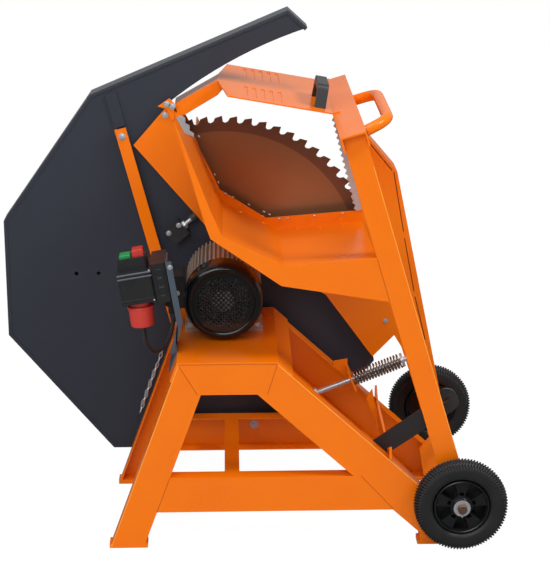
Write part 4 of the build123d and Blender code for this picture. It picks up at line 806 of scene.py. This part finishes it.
def dimple(spot, normal):
    """Rings of a low three-cornered pip: a triangle with round corners that shrinks towards its top."""
    axis, first, second = across(normal)
    angle = around(DIMPLE_STEPS)
    corner = DIMPLE_RADIUS * (1 + CORNER_REACH * np.cos(3 * angle))
    reach = (DIMPLE_SHARES[:, None] * corner)[:, :, None]
    height = (DIMPLE_RISES * DIMPLE_HEIGHT)[:, None, None]
    return skin(spot + MM * (height * axis + reach * circle(angle, first, second)))


trough_screws = [pan_screw(*floor_spot(x, SCREW_Y), SCREW_RADIUS) for x in SCREW_X]
add_piece("trough_screws", trough_screws, zinc, "cradle")
dimples = [dimple(*floor_spot(x, y)) for x in DIMPLE_X for y in DIMPLE_Y]
add_piece("trough_dimples", dimples, orange_coat, "cradle", smooth_angle=50.0)

# %% [markdown]
# ## Power inlet
# The plug socket is a red moulding: a short neck, a lip for the coupler's cap, and a barrel
# that narrows towards its mouth. It is a body of turning, as on a lathe, about an axis that
# leans a little less than the switch. Its hollow shows the five brass pins from below.

# %% Turned power inlet
INLET_LINE = [(21.0, 6.0), (22.0, 5.6), (22.0, -8.0), (27.5, -8.4), (29.2, -9.2), (29.8, -10.6),
              (29.2, -12.6), (27.6, -13.4), (27.2, -15.0), (26.6, -34.0), (25.8, -50.0),
              (25.0, -53.0), (24.2, -53.8), (23.2, -53.4), (22.8, -52.0), (23.4, -34.0),
              (23.6, -14.5)]
INLET_LEAN, INLET_SIDES = np.radians(5.5), 64

inlet_up = np.array([-np.sin(INLET_LEAN), 0.0, np.cos(INLET_LEAN)])
inlet_rings = turned(INLET_LINE, INLET_SIDES, switch_place(-171.0, -90.0, 538.5), inlet_up)
red_inlet = add_piece("red_power_inlet", [skin(inlet_rings)], red_plastic, "stand")
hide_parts("power_inlet")

# %% [markdown]
# ## Switch trim
# The switch's lid closes with ribs across its front, and the terminal box beside it has
# round knock-outs for more cables. A rib is a half-round section carried along a line, and
# a knock-out is a thin turned ring. A bent flange stiffens the foot of the bracket.

# %% Ribs, knock-outs and screws of the switch
SWITCH_FACE, BRACKET_FRONT = -126.0, -130.0
LID_LEFT, LID_RIGHT = -206.5, -133.5
RIB_STEPS, RIB_SUNK = 9, 0.3
KNOCKOUT_LINE = [(10.4, -0.4), (10.4, 1.2), (9.6, 1.7), (8.4, 1.2), (8.0, 0.2)]
KNOCKOUT_X, KNOCKOUT_SIDES = -116.5, 24
FLANGE_LINE = [(-97.0, 487.0), (-87.1, 488.6), (-106.4, 418.0), (-116.0, 418.0)]


def rib(start, end, width, height):
    """Half-round section at both ends of a line: width * cos across it and height * sin to the front."""
    side = np.cross(unit(end - start), FRONT)
    arc = np.linspace(0, np.pi, RIB_STEPS)[:, None]
    section = width / 2 * np.cos(arc) * side + (height * np.sin(arc) - RIB_SUNK) * FRONT
    return skin(np.stack([start, end])[:, None] + MM * section)


def lid_rib(z, width, height):
    """A rib from side to side of the switch's lid."""
    return rib(switch_place(LID_LEFT, SWITCH_FACE, z), switch_place(LID_RIGHT, SWITCH_FACE, z),
               width, height)


# The two upper ribs carry the painted highlight in their paler plastic.
switch_ridges = [lid_rib(z, 4.4, 2.2) for z in (600.5, 609.0)]
add_piece("switch_ridges", switch_ridges, ridge_highlight_plastic, "stand")
knockouts = [skin(turned(KNOCKOUT_LINE, KNOCKOUT_SIDES, switch_place(KNOCKOUT_X, BRACKET_FRONT, z), FRONT))
             for z in (562.0, 582.0, 602.0)]
add_piece("switch_trim", [lid_rib(552, 2.0, 1.0)] + knockouts, black_plastic, "stand")
switch_screws = [pan_screw(switch_place(-137.0, SWITCH_FACE, z), FRONT, 2.2) for z in (611.5, 546.0)]
add_piece("switch_screws", switch_screws, zinc, "stand")
add_piece("bracket_foot_flange", [soft_plate(FLANGE_LINE, BRACKET_FRONT, -127.0, 0.5)],
          slate_coat, "stand")

# %% [markdown]
# ## Strain reliefs
# A tapered rubber sleeve keeps the cable from kinking where it leaves each gland. It is
# turned about the first two centimetres of the cable, with the steps that let it bend.

# %% Tapered sleeves at both ends of the cable
SLEEVE_LINE = [(9.5, -0.5), (9.5, 3.0), (8.6, 4.0), (8.9, 7.0), (7.8, 8.0), (8.0, 11.0),
               (7.0, 12.0), (7.2, 15.0), (6.2, 16.0), (6.4, 20.0), (5.4, 22.0)]
SLEEVE_SIDES = 24

sleeves = [skin(turned(SLEEVE_LINE, SLEEVE_SIDES, cable_route[near], cable_route[far] - cable_route[near]))
           for near, far in ((0, 1), (-1, -2))]
add_piece("cable_sleeves", sleeves, cable_rubber, "stand")

# %% [markdown]
# ## Chain
# A zinc chain hangs down the rear leg, folded back on itself. Each link is a ring pulled
# out into an oval, and every second link is turned by a quarter. A link repeats many
# times, so it has few faces.

# %% Chain on the rear leg
LINK_LENGTH, LINK_WIDTH, LINK_WIRE, LINK_PITCH = 17.0, 9.0, 1.5, 13.0
LINK_STEPS, LINK_SIDES = 12, 6
CHAIN_LONG = [(-143.0, 176, 326), (-162.0, 176, 275), (-180.0, 176, 226), (-199.0, 176, 172)]
CHAIN_BACK = [(-160.0, 186, 281), (-178.0, 188, 233), (-192.0, 186, 194)]


def chain(line):
    """Links along a line of points: each is an oval ring, half of them turned a quarter about the line."""
    points = place(*np.array(line).T)
    run = np.concatenate([[0.0], np.cumsum(np.linalg.norm(np.diff(points, axis=0), axis=1))])
    stops = np.arange(0.0, run[-1], LINK_PITCH * MM)
    middles = np.stack([np.interp(stops, run, points[:, axis]) for axis in range(3)], axis=-1)
    ring, tube = around(LINK_STEPS), around(LINK_SIDES)[None]
    links = []
    for number, (middle, way) in enumerate(zip(middles, np.gradient(middles, axis=0))):
        way, first, second = across(way)
        flat, normal = (first, second) if number % 2 else (second, first)
        core = circle(ring, (LINK_LENGTH / 2 - LINK_WIRE) * way, (LINK_WIDTH / 2 - LINK_WIRE) * flat)
        wire = LINK_WIRE * circle(tube, circle(ring, way, flat)[:, None], normal)
        links.append(skin(middle + MM * (core[:, None] + wire), closed=True))
    return links


add_piece("leg_chain", chain(CHAIN_LONG) + chain(CHAIN_BACK), zinc, "stand",
          smooth_angle=60.0)

# %% [markdown]
# ## Housing hem
# The housing's edge is folded over into a hem, which shows as a low band round the front
# panel. The panel is a fixed solid that no bevel may change, so the band is a piece of its
# own: a flat half-round section carried along the outline, with mitred corners.

# %% Hem round the housing
HOUSING_LINE = [(351.0, 282.0), (176.0, 71.0), (-264.0, 71.0), (-501.0, 354.0), (-501.0, 627.0),
                (-296.0, 917.1), (149.0, 1104.0), (192.0, 1064.5)]
HOUSING_FACE, HEM_WIDTH, HEM_HEIGHT = 216.0, 9.0, 1.6
HEM_SECTION = [(0.06, -0.5), (0.06, 0.8), (0.3, 1.0), (0.7, 1.0), (0.94, 0.8), (0.94, -0.5)]


def mitred(line, shift):
    """An open line of points moved to its right by a distance, with mitred corners: each corner moves
    along the sum of its two normals, over 1 + their dot product."""
    line = np.array(line, float)
    way = unit(np.diff(line, axis=0))
    normal = np.column_stack([way[:, 1], -way[:, 0]])
    before, after = np.vstack([normal[:1], normal]), np.vstack([normal, normal[-1:]])
    return line + shift * (before + after) / (1 + (before * after).sum(axis=1))[:, None]


hem_lines = []
for share, height in HEM_SECTION:
    x, z = mitred(HOUSING_LINE, HEM_WIDTH * share).T
    hem_lines.append(place(x, HOUSING_FACE - HEM_HEIGHT * height, z))
add_piece("housing_hem", [skin(np.stack(hem_lines, axis=1))], housing_coat, "stand")

# %% [markdown]
# ## Latch lever
# The lever is a flame-cut plate with rounded corners and a finger slot at its grip. Each
# corner of the plain outline is swapped for a short curve, and the slot is a real hole cut
# with the same plate cutter as the grille.

# %% Latch lever with rounded corners
LEVER_ANGLE, LEVER_PIVOT = np.radians(35.0), np.array([450.98, 285.0])
LEVER_LINE = [(-150, 22), (-148, -20), (30, -22), (48, -20), (60, -12), (64, 20), (46, 34), (30, 30),
              (4, 22)]
LEVER_CUTS, LEVER_STEPS = [3, 3, 8, 6, 7, 13, 7, 7, 8], 6
SLOT_LINE, SLOT_CUTS, SLOT_STEPS = [(30, 5), (46, 5), (46, 11), (30, 11)], [2.9] * 4, 5


def rounded(line, cuts, steps):
    """Loop whose corners are curves: (1-t)^2 * before + 2t(1-t) * corner + t^2 * after, where before
    and after lie on the two edges at the corner's cut length."""
    line, cuts = np.array(line, float), np.array(cuts, float)[:, None]
    before = line + unit(np.roll(line, 1, axis=0) - line) * cuts
    after = line + unit(np.roll(line, -1, axis=0) - line) * cuts
    t = np.linspace(0, 1, steps)[None, :, None]
    curve = (1 - t) ** 2 * before[:, None] + 2 * t * (1 - t) * line[:, None] + t ** 2 * after[:, None]
    return curve.reshape(-1, 2)


def on_lever(loop):
    """Turn a loop drawn along the lever to the upright plane: pivot + along * way + across * normal."""
    way = np.array([np.cos(LEVER_ANGLE), np.sin(LEVER_ANGLE)])
    return LEVER_PIVOT + np.outer(loop[:, 0], way) + np.outer(loop[:, 1], [-way[1], way[0]])


lever_front, lever_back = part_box("latch_lever")[0][1] / MM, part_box("latch_lever")[1][1] / MM
lever = cut_plate(on_lever(rounded(LEVER_LINE, LEVER_CUTS, LEVER_STEPS)),
                  [on_lever(rounded(SLOT_LINE, SLOT_CUTS, SLOT_STEPS))], lever_front, lever_back)
latch_plate = add_piece("latch_plate", [lever], black_enamel, "latch_lever")
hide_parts("latch_lever")

# %% [markdown]
# ## Weld seams
# The channels are welded where they meet, and the platform's apron ends in a thin gap over
# the top beam. A line in the paint would look flat, so each seam is a narrow bead in a
# darker orange, which is painted shade of the groove along the weld and of the gap.

# %% Seams on the stand
LEG_FACE = -198.0
SEAM_WIDTH, SEAM_HEIGHT = 1.6, 0.8
SEAMS = [((-118.5, 161), (-147.5, 83)), ((292.0, 161), (363.5, 83)), ((-57.0, 350), (-96.5, 416)),
         ((92.0, 350), (112.5, 416)), ((-96.0, 416.5), (112.0, 416.5))]


def beads(lines, y, width, height):
    """Half-round beads on the upright plane at y, one for each pair of ends."""
    return [rib(place(x0, y, z0), place(x1, y, z1), width, height) for (x0, z0), (x1, z1) in lines]


# The seam paint is a darker orange: painted shade in the seams and the gap.
seam_shade_coat = powder_coat("shaded_weld_seam", ("BC560A", "A84A08"), roughness=0.45,
                        peel_mm=2.0, patch_mm=20.0, shine=0.2)
add_piece("weld_seams", beads(SEAMS, LEG_FACE, SEAM_WIDTH, SEAM_HEIGHT), seam_shade_coat, "stand")

# %% [markdown]
# ## Push bar
# The bar is a bent tube. A curve with a bevel could draw it, but rings are as simple here:
# the path lies in one plane, so every ring of the tube can use the same normal, and the
# second direction follows from the path's own heading.

# %% Bent push bar
BAR_ROOT, BAR_OUT, BAR_RADIUS = place(298.2, 0, 898.6), place(347.6, 0, 918.4), 12.0
BAR_LINE = [(-1.5, -124.6), (53.2, -101.0), (53.2, 202.0), (-1.5, 225.6)]
BAR_CUTS, BEND_STEPS, BAR_SIDES = [1.0, 38.0, 38.0, 1.0], 10, 24
ALONG_Y = np.array([0.0, 1.0, 0.0])


def bent_tube(root, out, line):
    """Rings square to a path in the plane of Y and root-to-out, with a curve at each inner corner:
    middle + radius * (cos * normal + sin * side)."""
    way = unit(out - root)
    bends = rounded(line, BAR_CUTS, BEND_STEPS)[BEND_STEPS:-BEND_STEPS]
    path = np.concatenate([line[:1], bends, line[-1:]])
    middle = root + MM * (path[:, :1] * way + path[:, 1:] * ALONG_Y)
    normal = np.cross(way, ALONG_Y)
    side = np.cross(unit(np.gradient(middle, axis=0)), normal)
    return middle[:, None] + BAR_RADIUS * MM * circle(around(BAR_SIDES)[None], normal, side[:, None])


bent_bar = add_piece("bent_push_bar", [skin(bent_tube(BAR_ROOT, BAR_OUT, BAR_LINE))],
                     orange_coat, "cradle")
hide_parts("push_bar")

# %% [markdown]
# ## Edges and gaps
# The long edges of the column and the legs are bends that catch the light, so pale beads
# on them are a painted highlight. The guard's return flange leaves a slit in shadow near its
# edge, drawn as a dark bead of painted shade, and a weld joins the apron to the column, its
# bead darker with painted shade like the other seams. All are narrow half-round beads.

# %% Painted edge highlights, column seam and guard gap shade
COLUMN_FACE = -203.0
COLUMN_EDGE = [((494.1, 217.8), (309.5, 841.0))]
COLUMN_SEAM = [((319.4, 646.0), (347.0, 553.0))]
LEG_EDGES = [((-95.6, 416.0), (-247.8, 1.0)), ((114.0, 414.0), (470.0, 88.0))]
GUARD_GAP = [((388.8, 738.1), (413.5, 598.0)), ((416.0, 582.0), (440.5, 455.0)),
             ((443.1, 441.3), (468.8, 336.2)), ((334.0, 803.6), (385.0, 741.2))]

# The paler, glossier edge paint is a painted highlight of the light on the bends, and the dark brown gap
# paint is painted shade.
edge_highlight_coat = powder_coat("painted_bend_highlight", ("F5A040", "EE9434"), roughness=0.22, peel_depth=0.01)
gap_shade_coat = powder_coat("shaded_sheet_gap", ("6A2205", "5A1C04"), roughness=0.5,
                       peel_mm=2.0, patch_mm=20.0, shine=0.2)
trim = [
    ("column_edge", beads(COLUMN_EDGE, COLUMN_FACE, 2.0, 0.7), edge_highlight_coat, "cradle"),
    ("column_seam", beads(COLUMN_SEAM, COLUMN_FACE, SEAM_WIDTH, SEAM_HEIGHT), seam_shade_coat, "cradle"),
    ("leg_edges", beads(LEG_EDGES, LEG_FACE, 2.2, 0.8), edge_highlight_coat, "stand"),
    ("guard_gap", beads(GUARD_GAP, GUARD_FACE, 2.4, 0.8), gap_shade_coat, "cradle"),
]
for trim_name, trim_beads, coat, body in trim:
    add_piece(trim_name, trim_beads, coat, body)

# %% [markdown]
# ## Last small fittings
# A small ear stands on the latch rail, two bolts clamp the stop block, and one more holds
# the guard beside the column. They use the plate and the bolt that are already there.

# %% Rail ear, stop bolts and guard bolt
EAR_LINE = [(326.6, 221.7), (340.1, 244.8), (345.3, 211.7), (362.1, 174.6), (353.2, 149.9)]
EAR_FRONT, EAR_BACK, STOP_FACE, SMALL_FLATS = 123.5, 126.5, 190.0, 6.5
STOP_BOLTS = [(-101.0, 620.0), (-124.0, 602.0)]

add_piece("rail_ear", [soft_plate(EAR_LINE, EAR_FRONT, EAR_BACK, 0.5)], orange_coat, "stand")
stop_bolts = [hex_bolt(place(x, STOP_FACE, z), FRONT, SMALL_FLATS) for x, z in STOP_BOLTS]
add_bolts("stop_bolts", stop_bolts, "stand")
guard_bolt = [hex_bolt(place(375.5, GUARD_FACE, 383.5), FRONT, SMALL_FLATS)]
add_bolts("guard_bolt", guard_bolt, "cradle")

# %% [markdown]
# ## Light and floor
# Large soft lamps stand in for a studio. The floor and the world show white to the camera.
# Mirrors see a pale wall behind the saw and a darker room in front of it, as in a studio
# where the lamps hang over the object, and the light on the saw stays at a plain level.

# %% World seen from the saw
SKY_LIGHT, SKY_WHITE = 0.28, 1.0
MIRROR_FRONT, MIRROR_BEHIND = 0.12, 0.55

world = bpy.data.worlds.new("studio")
bpy.context.scene.world = world
sky = empty_tree(world)
rays = add_node(sky, "ShaderNodeLightPath")
seen = add_node(sky, "ShaderNodeMath", {"operation": "MAXIMUM"},
                {0: rays.outputs["Is Camera Ray"], 1: rays.outputs["Is Transmission Ray"]})
plain = add_node(sky, "ShaderNodeMapRange", {"To Min": SKY_LIGHT, "To Max": SKY_WHITE},
                 {"Value": seen.outputs["Value"]})
way = add_node(sky, "ShaderNodeSeparateXYZ",
               links={"Vector": add_node(sky, "ShaderNodeTexCoord").outputs["Generated"]})
mirror = add_node(sky, "ShaderNodeMapRange",
                  {"From Min": -0.3, "From Max": 0.5, "To Min": MIRROR_FRONT, "To Max": MIRROR_BEHIND},
                  {"Value": way.outputs["Y"]})
strength = add_node(sky, "ShaderNodeMix", {"data_type": "FLOAT"}, {
    0: rays.outputs["Is Glossy Ray"], 2: plain.outputs["Result"], 3: mirror.outputs["Result"]})
glow = add_node(sky, "ShaderNodeBackground", {"Color": linear("FFFFFF")},
                {"Strength": strength.outputs[0]})
add_node(sky, "ShaderNodeOutputWorld", links={"Surface": glow.outputs["Background"]})
print("world ready")

# %% Floor that keeps the shadow
FLOOR_HALF, FLOOR_GREY = 14.0, 0.86
FLOOR_CLEAR, FLOOR_GLOW, FLOOR_MIRROR = 0.90, 1.08, 0.16

floor_mesh = bpy.data.meshes.new("studio_floor")
corners = FLOOR_HALF * np.array([(-1, -1, 0), (1, -1, 0), (1, 1, 0), (-1, 1, 0)])
floor_mesh.from_pydata(corners.tolist(), [], [(0, 1, 2, 3)])
studio_floor = put_in_scene("studio_floor", floor_mesh)
floor_paint = bpy.data.materials.new("white_floor")
tree = empty_tree(floor_paint)
rays = add_node(tree, "ShaderNodeLightPath")
for_camera = add_node(tree, "ShaderNodeMath", {"operation": "MULTIPLY", 1: FLOOR_CLEAR},
                      {0: rays.outputs["Is Camera Ray"]})
share = add_node(tree, "ShaderNodeMath", {"operation": "MAXIMUM"},
                 {0: for_camera.outputs["Value"], 1: rays.outputs["Is Glossy Ray"]})
level = add_node(tree, "ShaderNodeMapRange", {"To Min": FLOOR_GLOW, "To Max": FLOOR_MIRROR},
                 {"Value": rays.outputs["Is Glossy Ray"]})
matt = add_node(tree, "ShaderNodeBsdfDiffuse", {"Color": (FLOOR_GREY, FLOOR_GREY, FLOOR_GREY, 1.0)})
white = add_node(tree, "ShaderNodeEmission", {"Color": linear("FFFFFF")},
                 {"Strength": level.outputs["Result"]})
mixed = add_node(tree, "ShaderNodeMixShader", links={
    0: share.outputs["Value"], 1: matt.outputs["BSDF"], 2: white.outputs["Emission"]})
add_node(tree, "ShaderNodeOutputMaterial", links={"Surface": mixed.outputs["Shader"]})
floor_mesh.materials.append(floor_paint)
print("floor ready")

# %% Lamps
LAMP_AIM = np.array([0.0, 0.1, 0.5])
lamps = [
    ("key_lamp", (2.5, -1.0, 3.3), 1.0, 72.0),
    ("fill_lamp", (-0.7, -3.3, 2.8), 2.4, 68.0),
    ("left_lamp", (-2.6, -1.8, 2.6), 2.0, 28.0),
    ("top_lamp", (0.2, -0.5, 3.6), 1.4, 36.0),
]
for lamp_name, lamp_place, lamp_size, lamp_power in lamps:
    lamp_data = bpy.data.lights.new(lamp_name, "AREA")
    lamp_data.size = lamp_size
    lamp_data.energy = lamp_power
    lamp = put_in_scene(lamp_name, lamp_data)
    lamp.location = lamp_place
    aim = LAMP_AIM - np.array(lamp_place)
    lamp.rotation_euler = (np.arctan2(np.hypot(aim[0], aim[1]), -aim[2]), 0.0,
                           np.arctan2(aim[1], aim[0]) - np.pi / 2)
print(len(lamps), "lamps")

# %% Finish
bpy.context.scene.view_settings.view_transform = "Standard"
bpy.context.view_layer.update()
